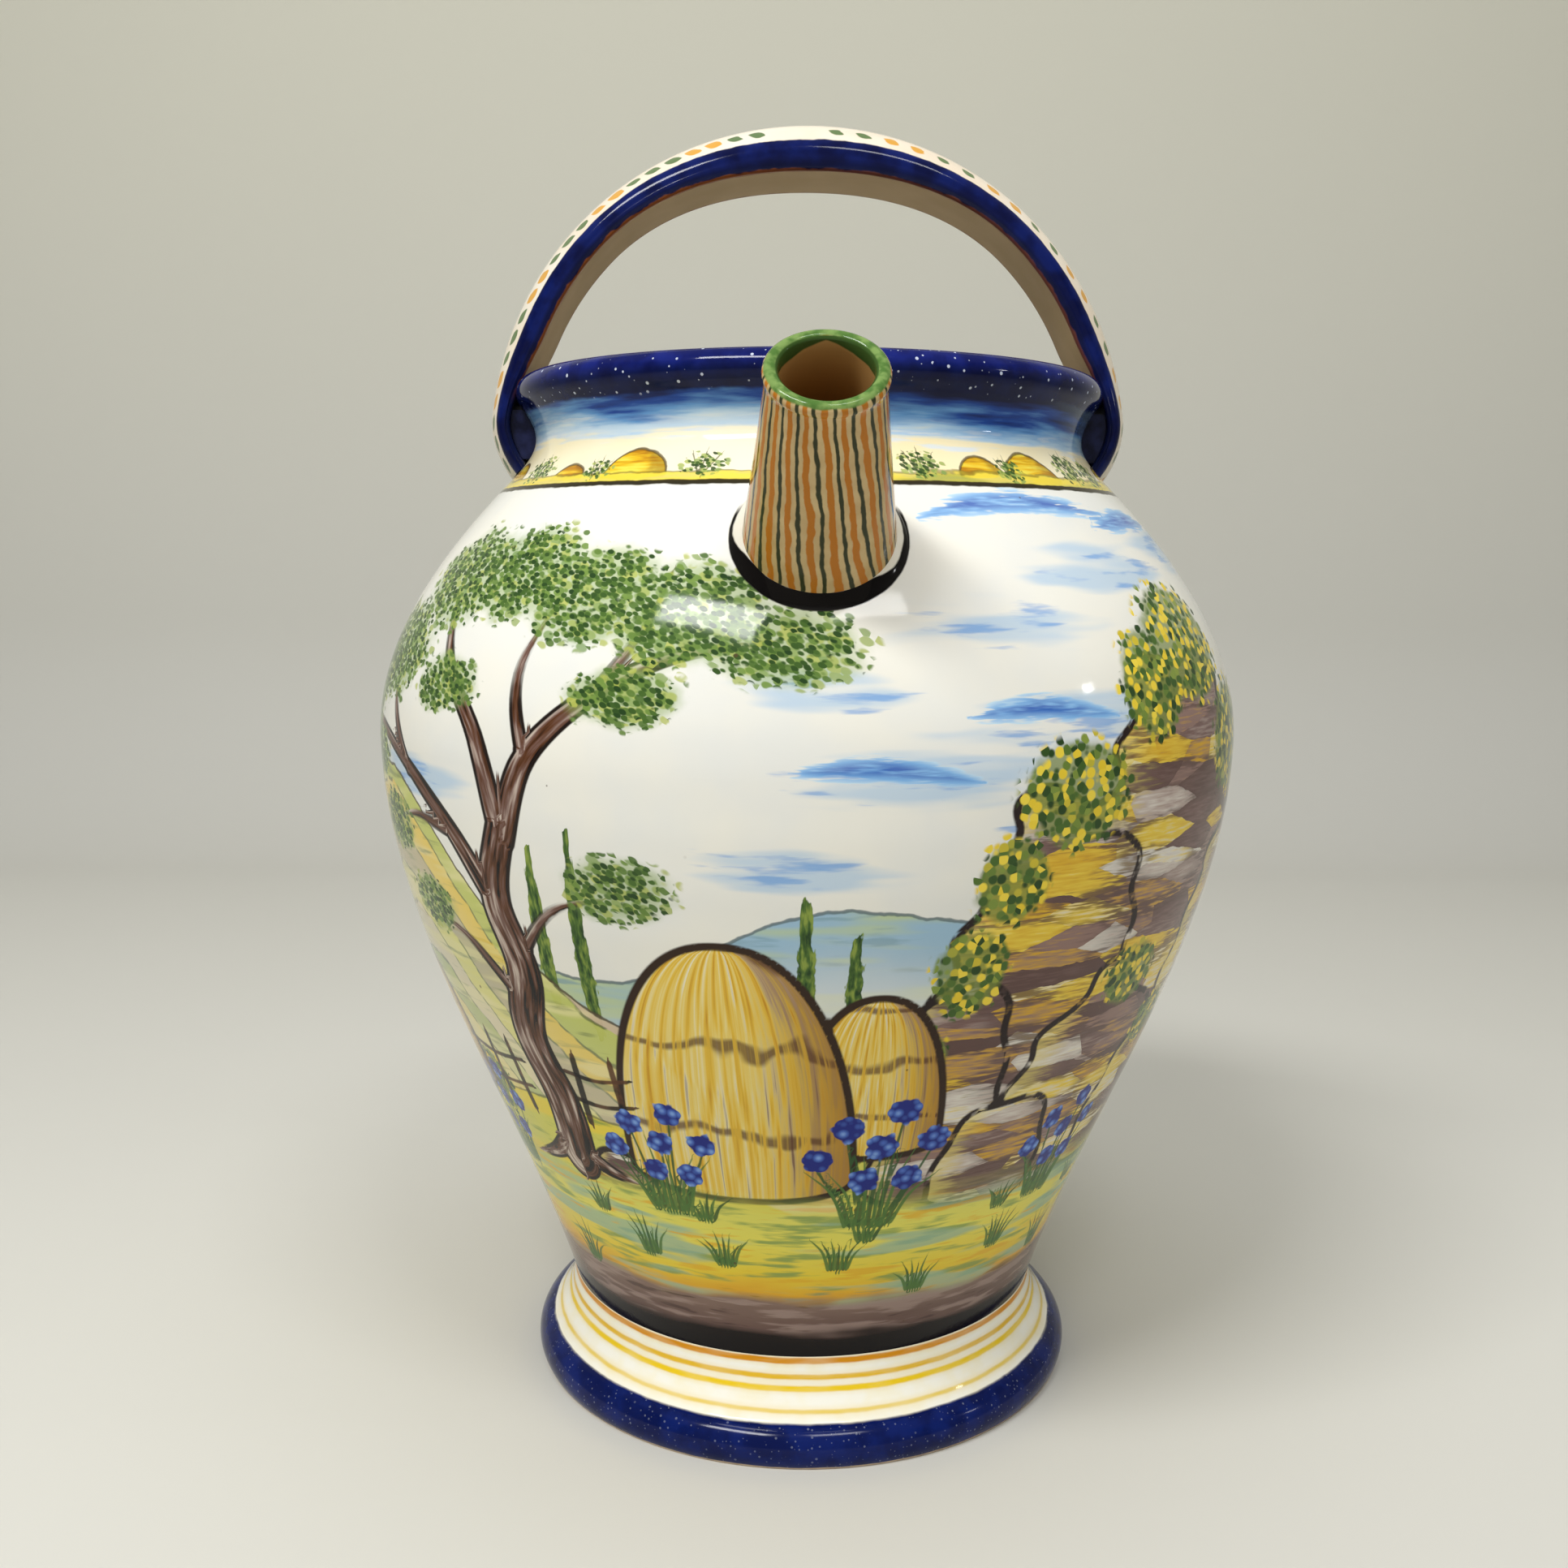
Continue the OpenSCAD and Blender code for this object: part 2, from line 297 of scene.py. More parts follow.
def add_field(piece, name, values):
    """Stores one number per point for the nodes to read."""
    field = piece.data.attributes.new(name, "FLOAT", "POINT")
    field.data.foreach_set("value", np.ascontiguousarray(values, np.float32))


def corner_data(piece):
    """For each face corner: its point, and the number of its face."""
    mesh = piece.data
    points = np.empty(len(mesh.loops), np.int32)
    mesh.loops.foreach_get("vertex_index", points)
    sizes = np.empty(len(mesh.polygons), np.int32)
    mesh.polygons.foreach_get("loop_total", sizes)
    return points, np.repeat(np.arange(len(sizes)), sizes)


def face_means(values, owner):
    """Mean over the corners of each face, given back at every corner."""
    total = np.bincount(owner, weights=values)
    return (total / np.bincount(owner))[owner]


def store_map(piece, u, v):
    """Keeps the map on which the paint is baked."""
    layer = piece.data.uv_layers.new(name="OFBake")
    layer.data.foreach_set("uv", np.stack([u, v], -1).ravel())


def turned_map(piece, shown_r):
    """A map for a turned piece: the painted wall in two strips, front and back, and the rest in a third."""
    corner, owner = corner_data(piece)
    x, y, z = mesh_points(piece)[corner].T
    radius = np.hypot(x, y)
    mid_x, mid_y, mid_z = (face_means(v, owner) for v in (x, y, z))
    turn = np.arctan2(mid_x, -mid_y)
    away = np.angle(np.exp(1j * (np.arctan2(x, -y) - turn)))
    around = turn + np.where(radius < 0.5, 0.0, away)
    low, high = z.min(), z.max()
    strip = 0.40
    gap = 0.015
    front = np.abs(turn) <= math.pi / 2
    side = np.where(front, around, np.mod(around, 2 * math.pi) - math.pi)
    wall_u = 0.5 + side / math.pi
    wall_v = np.where(front, gap, strip + 2 * gap) + strip * (z - low) / (high - low)
    # The inside winds out from the axis: first the radius of the floor, then the height of the wall
    reach = (radius + z - low) / (high - low + radius.max())
    rest_u = 0.5 + around / (2 * math.pi)
    rest_v = 2 * strip + 3 * gap + (1 - 2 * strip - 4 * gap) * reach
    shown = np.hypot(mid_x, mid_y) > shown_r(mid_z)
    u = gap + (1 - 2 * gap) * np.where(shown, wall_u, rest_u)
    store_map(piece, u, np.where(shown, wall_v, rest_v))


# The spout

# Stretch along the spout in which its root is looked for, and how often it is halved
SEARCH_FROM = -28.0
SEARCH_TO = 18.0
HALVINGS = 40
HOLE_REACH = 30.0
SPOUT_START = np.array([0.0, -float(body_r(SPOUT_ROOT_Z)), SPOUT_ROOT_Z])
SPOUT_AXIS = np.array([0.0, -math.sin(SPOUT_TILT), math.cos(SPOUT_TILT)])
SPOUT_SIDE = np.array([1.0, 0.0, 0.0])
SPOUT_DOWN = np.array([0.0, -math.cos(SPOUT_TILT), -math.sin(SPOUT_TILT)])


def on_spout(angle, radius, along):
    """Points round the axis of the spout. Angle 0 faces forward and down, and a quarter turn is +X."""
    angle, radius, along = np.broadcast_arrays(angle, radius, along)
    out = radius[..., None] * (
        np.sin(angle)[..., None] * SPOUT_SIDE + np.cos(angle)[..., None] * SPOUT_DOWN
    )
    return SPOUT_START + out + along[..., None] * SPOUT_AXIS


def depth_in_wall(points):
    """How far points lie inside the outer surface, along the radius of the jug."""
    radius = np.hypot(points[..., 0], points[..., 1])
    angle = np.arctan2(points[..., 0], -points[..., 1])
    z = points[..., 2]
    return body_r(z) + hand_thrown(angle, z) - radius


def meet_wall(angle, radius_at, depth=0.0):
    """Distance along the spout at which a surface round its axis reaches a depth in the wall, by halving."""
    near = np.full_like(angle, SEARCH_FROM)
    far = np.full_like(angle, SEARCH_TO)
    for _ in range(HALVINGS):
        mid = (near + far) / 2
        points = on_spout(angle, radius_at(mid), mid)
        z = points[..., 2]
        inside = depth_in_wall(points) > body_r(z) - inner_r(z, depth)
        near = np.where(inside, mid, near)
        far = np.where(inside, far, mid)
    return near


def cone_r(along):
    """Outer radius of the spout."""
    return SPOUT_ROOT_R - SPOUT_TAPER * along


def make_spout():
    """The cone with its rolled lip, its bore, its tenon and the saddle cut on the shoulder."""
    angle = ring_angles(SPOUT_COLUMNS)
    root = meet_wall(angle, cone_r)
    roll = SPOUT_ROLL_R - ROLL_INSET
    roll_from = -math.acos((SPOUT_LIP_R - ROLL_CR) / roll)
    roll_to = math.pi - math.acos((ROLL_CR - SPOUT_BORE_R) / roll)
    top = ROLL_AT + roll * math.sin(roll_from)
    rows = []
    for t in np.linspace(0, 1, 27):
        along = root + t * (top - root)
        hand = 0.12 * np.sin(2 * angle + 0.05 * along) * math.sin(math.pi * t)
        rows.append(on_spout(angle, cone_r(along) + hand, along))
    for turn in np.linspace(roll_from, roll_to, 17)[1:]:
        lift = 0.35 * np.cos(angle + math.pi) ** 2 * (np.cos(angle) < 0) * max(0.0, math.sin(turn))
        along = ROLL_AT + roll * math.sin(turn) - lift
        rows.append(on_spout(angle, ROLL_CR + roll * math.cos(turn), along))
    bore_top = ROLL_AT + roll * math.sin(roll_to)
    bore_end = meet_wall(angle, lambda along: SPOUT_BORE_R, WALL)
    for t in np.linspace(0, 1, 19)[1:]:
        rows.append(on_spout(angle, SPOUT_BORE_R, bore_top + t * (bore_end - bore_top)))
    tenon_end = meet_wall(angle, lambda along: TENON_R, WALL)
    rows.append(on_spout(angle, TENON_R, tenon_end))
    for share in np.linspace(0, 1, 6)[:-1]:
        def seat_r(along, share=share):
            return TENON_R + share * (cone_r(along) - TENON_R)
        seat = meet_wall(angle, seat_r)
        rows.append(on_spout(angle, seat_r(seat), seat))
    return looped("spout_thrown", rows)


def make_coil():
    """The clay coil that is smoothed into the corner between spout and shoulder."""
    angle = ring_angles(SPOUT_COLUMNS)
    root = meet_wall(angle, cone_r)
    foot = meet_wall(angle, lambda along: cone_r(along) + COIL_W)
    corner = on_spout(angle, cone_r(root), root)
    outer = on_spout(angle, cone_r(foot) + COIL_W, foot)
    upper = on_spout(angle, cone_r(root + COIL_H), root + COIL_H)
    bulge = corner + 0.62 * (outer - corner) + 0.62 * (upper - corner)
    rows = [corner, (corner + outer) / 2]
    for t in np.linspace(0, 1, 9):
        rows.append((1 - t) ** 2 * outer + 2 * t * (1 - t) * bulge + t * t * upper)
    rows.append((corner + upper) / 2)
    return looped("spout_coil_smoothed", rows)


# The handle


def ease(t):
    """A smooth step from 0 to 1."""
    t = np.clip(t, 0, 1)
    return t * t * (3 - 2 * t)


def crown_point(a):
    """Crown of the arch at an angle from its top: across and up."""
    z = HANDLE_SPRING_Z + HANDLE_RISE * np.cos(a)
    drawn = np.maximum(0, CURL_Z - z)
    return np.stack([HANDLE_HALF * np.sin(a) - np.sign(a) * drawn ** 2 / (2 * CURL_R), z], -1)


def crown_normal(a):
    """Direction square to the arch, outwards."""
    step = math.radians(0.5)
    d = crown_point(a + step) - crown_point(a - step)
    n = np.stack([-d[..., 1], d[..., 0]], -1)
    return n / np.linalg.norm(n, axis=-1, keepdims=True)


def strap_share(a):
    """Share of the full thickness that is left at an angle."""
    a = np.abs(a)
    haunch = (1 - HAUNCH_SHARE) * ease(a / HAUNCH_ANGLE)
    leg = (HAUNCH_SHARE - ROOT_SHARE) * ease((a - LEG_ANGLE) / (ROOT_ANGLE - LEG_ANGLE))
    return 1 - haunch - leg


def push_out(points):
    """Moves points that lie in the wall of the jug, under its rim, out to its surface."""
    depth = np.maximum(0, depth_in_wall(points)) * (points[..., 2] < LIP_Z)
    radius = np.hypot(points[..., 0], points[..., 1])
    scale = (radius + depth) / np.maximum(radius, 1e-6)
    moved = points.copy()
    moved[..., :2] *= scale[..., None]
    return moved


def strap_section(share):
    """Half the section of the strap from the crown to the middle of the inside, as turn, out and back.

    The turn runs from 0 to 1 over the crown, to 1.4 round its corner, to 2 over the edge and to 3 inside.
    """
    half = HANDLE_W / 2
    dome = HANDLE_CROWN * share
    inside = -HANDLE_THICK * share
    corner = HANDLE_CORNER * share
    brow = half - corner * (1 - math.sin(math.atan(2 * dome / half)))
    lean = math.atan(2 * dome * brow / half ** 2)
    rows = []
    for t in np.linspace(0, 1, 15):
        rows.append((t, -dome * (brow * t / half) ** 2, brow * t))
    middle = rows[-1][1] - corner * math.cos(lean)
    for t in np.linspace(0, 1, 9)[1:]:
        a = lean + t * (math.pi / 2 - lean)
        out = brow + corner * (math.sin(a) - math.sin(lean))
        rows.append((1 + 0.4 * t, middle + corner * math.cos(a), out))
    side = rows[-1][2]
    edge = middle - inside - HANDLE_ROUND
    for t in np.linspace(0, 1, 6)[1:]:
        rows.append((1.4 + 0.45 * t, middle - edge * t, side + EDGE_BULGE * math.sin(math.pi * t)))
    for t in np.linspace(0, math.pi / 2, 5)[1:]:
        rows.append((1.85 + 0.3 * t / math.pi, inside + HANDLE_ROUND * (1 - math.sin(t)),
                     side - HANDLE_ROUND * (1 - math.cos(t))))
    for t in np.linspace(0, 1, 9)[1:]:
        rows.append((2 + t, inside, (side - HANDLE_ROUND) * (1 - t)))
    return rows


def make_handle():
    """The pulled strap, bent into the arch, with its legs cut to the shoulder."""
    tries = np.linspace(math.radians(80), math.radians(104), 400)
    crown = crown_point(tries)
    flat = np.stack([crown[:, 0], 0 * tries, crown[:, 1]], -1)
    end = float(tries[depth_in_wall(flat) < -0.5].max())
    angles = np.linspace(-end, end, HANDLE_STEPS)
    points = []
    turns = []
    ways = []
    for a in angles:
        p = crown_point(a)
        n = crown_normal(a)
        front = strap_section(float(strap_share(a)))
        whole = [(t, out, -back) for t, out, back in front]
        whole += [(t, out, back) for t, out, back in front[-2:0:-1]]
        for t, out, back in whole:
            points.append((p[0] + n[0] * out, back, p[1] + n[1] * out))
            turns.append(t)
            ways.append(a)
    faces = capped_faces(len(angles), len(whole))
    points = push_out(np.array(points))
    return make_object("handle_pulled", points, faces, HANDLE_SHARP, turn=turns, way=ways)


def make_wad(name, side):
    """The clay pressed in between a leg of the handle and the collar."""
    top = math.acos((COLLAR_Z + WAD_H - HANDLE_SPRING_Z) / HANDLE_RISE)
    rows = []
    for a in np.linspace(top, top + WAD_TURN, 29):
        p = crown_point(a)
        n = crown_normal(a)
        out = -HANDLE_THICK * float(strap_share(a)) - WAD_ROOM
        back = WAD_W / 2 * np.sin(np.linspace(-math.pi / 2, math.pi / 2, 13))
        face = np.stack([p[0] + n[0] * out + 0 * back, back, p[1] + n[1] * out + 0 * back], -1)
        if depth_in_wall(face).max() > -0.4:
            break
        radius = np.hypot(face[:, 0], face[:, 1])
        seat = face.copy()
        seat[:, :2] *= ((radius + depth_in_wall(face)) / radius)[:, None]
        rows.append(np.vstack([face, seat[::-1]]))
    grid = np.array(rows)
    grid[..., 0] *= side
    return make_object(name, grid.reshape(-1, 3), capped_faces(len(rows), grid.shape[1]))


# Glaze nodes

GLOSS = 0.055
GLAZE_IOR = 1.42
GLAZE_SPECULAR = 0.24
RIPPLE = 0.05


class Num:
    """A number that varies over a surface. Its sums and products become nodes."""

    def __init__(self, pen, socket):
        self.pen = pen
        self.socket = socket

    def __abs__(self):
        return self.pen.math("ABSOLUTE", self)

    def step(self, low, high):
        """A smooth step from 0 at low to 1 at high. Low may be the larger of the two."""
        made = self.pen.node("ShaderNodeMapRange", interpolation_type="SMOOTHSTEP")
        ends = (low, high, 0.0, 1.0) if low < high else (high, low, 1.0, 0.0)
        for socket, number in zip(made.inputs, (self,) + ends):
            self.pen.plug(socket, number)
        return Num(self.pen, made.outputs["Result"])


def arithmetic(operation, turned):
    """One operation of a Num with another number, which comes first where it is turned."""
    def apply(own, other):
        pair = (other, own) if turned else (own, other)
        return own.pen.math(operation, *pair)
    return apply


for sign, operation in (("add", "ADD"), ("sub", "SUBTRACT"), ("mul", "MULTIPLY"), ("truediv", "DIVIDE")):
    setattr(Num, f"__{sign}__", arithmetic(operation, False))
    setattr(Num, f"__r{sign}__", arithmetic(operation, True))


class Pen:
    """Writes the nodes of one glaze, and holds the colour painted so far."""

    def __init__(self, name):
        self.material = bpy.data.materials.new(name)
        self.material.use_nodes = True
        self.tree = self.material.node_tree
        self.shader = self.tree.nodes["Principled BSDF"]
        self.colour = None
        place = self.node("ShaderNodeTexCoord").outputs["Object"]
        scale = self.node("ShaderNodeVectorMath", operation="SCALE")
        self.tree.links.new(place, scale.inputs[0])
        scale.inputs["Scale"].default_value = 1 / MM
        self.spot = scale.outputs["Vector"]
        parts = self.node("ShaderNodeSeparateXYZ")
        self.tree.links.new(self.spot, parts.inputs[0])
        self.x, self.y, self.z = (Num(self, out) for out in parts.outputs)

    def node(self, kind, **settings):
        made = self.tree.nodes.new(kind)
        for key, value in settings.items():
            setattr(made, key, value)
        return made

    def plug(self, socket, value):
        if isinstance(value, Num):
            self.tree.links.new(value.socket, socket)
        elif isinstance(value, bpy.types.NodeSocket):
            self.tree.links.new(value, socket)
        elif isinstance(value, tuple):
            socket.default_value = value + (1.0,) if len(value) == 3 else value
        else:
            socket.default_value = value

    def math(self, operation, a, b=0.0):
        made = self.node("ShaderNodeMath", operation=operation)
        for socket, value in zip(made.inputs, (a, b)):
            self.plug(socket, value)
        return Num(self, made.outputs[0])

    def vector(self, x, y, z):
        made = self.node("ShaderNodeCombineXYZ")
        for socket, value in zip(made.inputs, (x, y, z)):
            self.plug(socket, value)
        return made.outputs[0]

    def noise(self, place, size, detail):
        made = self.node("ShaderNodeTexNoise")
        self.plug(made.inputs["Vector"], place)
        self.plug(made.inputs["Scale"], 1 / size)
        self.plug(made.inputs["Detail"], detail)
        return Num(self, made.outputs["Fac"])

    def cloud(self, size, detail=2.0):
        """Soft clouds of a size in millimetres, as numbers about zero."""
        return self.noise(self.spot, size, detail) - 0.5

    def level(self, squeeze):
        """Places for a noise that is drawn out level, like the strokes of a brush."""
        return self.vector(self.x * squeeze, self.y * squeeze, self.z)

    def cells(self, place, size):
        """Dabs: the distance from the middle of the nearest one, and two random numbers of its own."""
        made = self.node("ShaderNodeTexVoronoi")
        self.plug(made.inputs["Vector"], place)
        self.plug(made.inputs["Scale"], 1 / size)
        split = self.node("ShaderNodeSeparateColor")
        self.tree.links.new(made.outputs["Color"], split.inputs[0])
        return tuple(Num(self, out) for out in (made.outputs["Distance"], split.outputs[0], split.outputs[1]))

    def field(self, name):
        return Num(self, self.node("ShaderNodeAttribute", attribute_name=name).outputs["Fac"])

    def mix(self, share, under, over):
        made = self.node("ShaderNodeMix", data_type="RGBA")
        self.plug(made.inputs[0], share)
        self.plug(made.inputs[6], under)
        self.plug(made.inputs[7], over)
        return made.outputs[2]

    def over(self, under, *coats):
        """A paint with coats over it, each a cover and a colour."""
        for cover, paint in coats:
            under = self.mix(cover, under, paint)
        return under

    def lay(self, cover, paint):
        """Lays a paint over the colour so far, where its cover is above 0."""
        self.colour = self.mix(cover, self.colour, paint)

    def tints(self, value, *stops):
        """A colour picked along a row of stops, each a number and a colour."""
        made = self.node("ShaderNodeValToRGB")
        ramp = made.color_ramp
        while len(ramp.elements) < len(stops):
            ramp.elements.new(0.5)
        for element, (at, colour) in zip(ramp.elements, stops):
            element.position = at
            element.color = colour + (1.0,)
        self.plug(made.inputs[0], value)
        return made.outputs[0]

    def glaze(self, gloss=GLOSS):
        """Finishes the glaze: a glossy, slightly uneven coat over the painted colour."""
        dust = self.noise(self.spot, 9.0, 3.0)
        self.plug(self.shader.inputs["Base Color"], self.colour)
        self.plug(self.shader.inputs["Roughness"], gloss + dust * 0.05)
        self.plug(self.shader.inputs["IOR"], GLAZE_IOR)
        self.plug(self.shader.inputs["Specular IOR Level"], GLAZE_SPECULAR)
        wave = self.noise(self.spot, 16.0, 1.0)
        grain = self.noise(self.spot, 1.6, 2.0)
        bump = self.node("ShaderNodeBump")
        self.plug(bump.inputs["Strength"], RIPPLE)
        self.plug(bump.inputs["Distance"], MM)
        self.plug(bump.inputs["Height"], wave + grain * 0.22)
        self.plug(self.shader.inputs["Normal"], bump.outputs["Normal"])
        return self.material


# Colours of the oxides under and in the glaze, as they fire
WHITE = (0.85, 0.83, 0.74)
WHITE_COOL = (0.80, 0.80, 0.75)
IVORY = (0.72, 0.66, 0.52)
BLUE_PALE = (0.30, 0.52, 0.76)
GREEN = (0.075, 0.150, 0.030)
GREEN_DARK = (0.022, 0.055, 0.016)
GREEN_LIGHT = (0.25, 0.33, 0.06)
YELLOW = (0.80, 0.58, 0.035)
BROWN = (0.11, 0.042, 0.018)
MAUVE = (0.17, 0.095, 0.075)
BLACK = (0.005, 0.004, 0.004)


# The thrown pieces


def make_foot():
    """The foot ring with its bead, its flare and the key on top."""
    sole = -math.asin(FOOT_BEAD_CZ / FOOT_BEAD_R)
    brow = math.acos(FOOT_FLARE_OUT / FOOT_BEAD_R)
    rows = bead_rows(FOOT_BEAD_CR, FOOT_BEAD_CZ, FOOT_BEAD_R, sole, brow, 26)
    for z in np.linspace(FOOT_FLARE_Z, FOOT_H, 26)[1:]:
        r = curve_r(z, FOOT_FLARE_Z, FOOT_FLARE_R, -FOOT_FLARE_SLOPE, FOOT_H, BASE_R, 0)
        rows.append((r, z))
    rows += key_rows(FOOT_KEY_R, FOOT_H, 0)
    throat = (FOOT_THROAT_R, FOOT_H)
    edge = (FOOT_INNER_R, 0.0)
    rows += [throat] + line_rows(throat, edge, 8) + [edge]
    rows += line_rows(edge, rows[0], 3)
    return thrown("foot_thrown", rows)


def make_lower_body():
    """The bowl: floor and wall up to the belly."""
    rows = [(0.0, FOOT_H)]
    rows += key_rows(FOOT_KEY_R, FOOT_H, SLIP)[::-1]
    rows += wall_rows(FOOT_H, BELLY_Z, 0, 126)
    rows += key_rows(mid_r(BELLY_Z), BELLY_Z, 0)
    fillet_z = FLOOR_Z + FLOOR_FILLET
    fillet_r = float(inner_r(fillet_z, WALL)) - FLOOR_FILLET
    rows += wall_rows(BELLY_Z, fillet_z, WALL, 20)
    rows += bead_rows(fillet_r, fillet_z, FLOOR_FILLET, 0, -math.pi / 2, 6)
    rows.append((0.0, FLOOR_Z))
    return thrown("lower_body_thrown", rows)


def make_upper_body():
    """The shoulder, pierced for the spout."""
    rows = key_rows(mid_r(BELLY_Z), BELLY_Z, SLIP)[::-1]
    rows += wall_rows(BELLY_Z, COLLAR_Z, 0, 56)
    rows += key_rows(mid_r(COLLAR_Z), COLLAR_Z, 0)
    rows += wall_rows(COLLAR_Z, BELLY_Z, WALL, 16)
    piece = thrown("upper_body_thrown", rows)
    angle = 2 * math.pi * np.arange(HOLE_COLUMNS) / HOLE_COLUMNS
    ends = [on_spout(angle, TENON_R + SLIP, along) for along in (-HOLE_REACH, HOLE_REACH)]
    drill = make_object("drill", np.vstack(ends), capped_faces(2, HOLE_COLUMNS))
    cut = piece.modifiers.new("cut", "BOOLEAN")
    cut.operation = "DIFFERENCE"
    cut.solver = "EXACT"
    cut.object = drill
    shaped = piece.evaluated_get(bpy.context.evaluated_depsgraph_get())
    mesh = bpy.data.meshes.new_from_object(shaped)
    piece.modifiers.clear()
    piece.data = mesh
    bpy.data.objects.remove(drill)
    tidy_mesh(piece)
    return piece


def make_collar():
    """The collar with its rolled rim."""
    rows = key_rows(mid_r(COLLAR_Z), COLLAR_Z, SLIP)[::-1]
    rows += wall_rows(COLLAR_Z, NECK_Z, 0, 14) + wall_rows(NECK_Z, LIP_Z, 0, 12)
    rows += bead_rows(RIM_CR, RIM_CZ, RIM_BEAD_R, -RIM_JOIN, RIM_END, 40)
    inner = wall_rows(NECK_Z, COLLAR_Z, WALL, 14)
    rows += line_rows(rows[-1], inner[0], 8) + inner
    return thrown("collar_thrown", rows)


def spout_map(piece):
    """A map for the spout: the painted cone in one strip, and bore, tenon and seat in another."""
    corner, owner = corner_data(piece)
    from_start = mesh_points(piece)[corner] - SPOUT_START
    along = from_start @ SPOUT_AXIS
    across = from_start @ SPOUT_SIDE
    down = from_start @ SPOUT_DOWN
    radius = np.hypot(across, down)
    turn = np.arctan2(face_means(across, owner), face_means(down, owner))
    around = turn + np.angle(np.exp(1j * (np.arctan2(across, down) - turn)))
    shown = face_means(radius - ROLL_CR, owner) > 0
    shown &= face_means(radius - cone_r(along), owner) > -1.6
    u = 0.5 + 0.96 * around / (2 * math.pi)
    cone_from = 0.02
    cone_strip = 0.60
    rest_from = 0.66
    rest_strip = 0.30
    up = along - along.min()
    cone_v = cone_from + cone_strip * up / up.max()
    rest_v = rest_from + rest_strip * (up + 0.6 * (radius - SPOUT_BORE_R)) / (up.max() + 8)
    store_map(piece, u, np.where(shown, cone_v, rest_v))


def handle_map(piece):
    """A map for the strap: along the arch, and round its section in two halves, front and back."""
    corner, owner = corner_data(piece)
    turn = np.empty(len(piece.data.vertices), np.float32)
    way = np.empty_like(turn)
    for name, values in (("turn", turn), ("way", way)):
        piece.data.attributes[name].data.foreach_get("value", values)
    reach = float(np.abs(way).max())
    back = face_means(mesh_points(piece)[corner][:, 1], owner) > 0
    strip = 0.47
    u = 0.5 + strip * way[corner] / reach
    store_map(piece, u, np.where(back, 0.51, 0.02) + strip * turn[corner] / 3)


# The painted picture is a made-up landscape, drawn with these tools in millimetres round and up the jug

# A distance that counts as far from every line
FAR_OFF = 60.0


def nearest_way(x, centre):
    """Lengths round the jug, taken to the side where they lie nearest to a centre."""
    return centre + np.mod(x - centre + ROUND / 2, ROUND) - ROUND / 2


def flowing(points, steps=7):
    """A smooth line through points."""
    p = np.array(points, float)
    p = np.vstack([2 * p[0] - p[1], p, 2 * p[-1] - p[-2]])
    line = []
    for i in range(1, len(p) - 2):
        for t in np.arange(steps) / steps:
            a = 2 * p[i]
            b = (p[i + 1] - p[i - 1]) * t
            c = (2 * p[i - 1] - 5 * p[i] + 4 * p[i + 1] - p[i + 2]) * t ** 2
            d = (3 * p[i] - p[i - 1] - 3 * p[i + 1] + p[i + 2]) * t ** 3
            line.append((a + b + c + d) / 2)
    line.append(p[-2])
    return np.array(line)


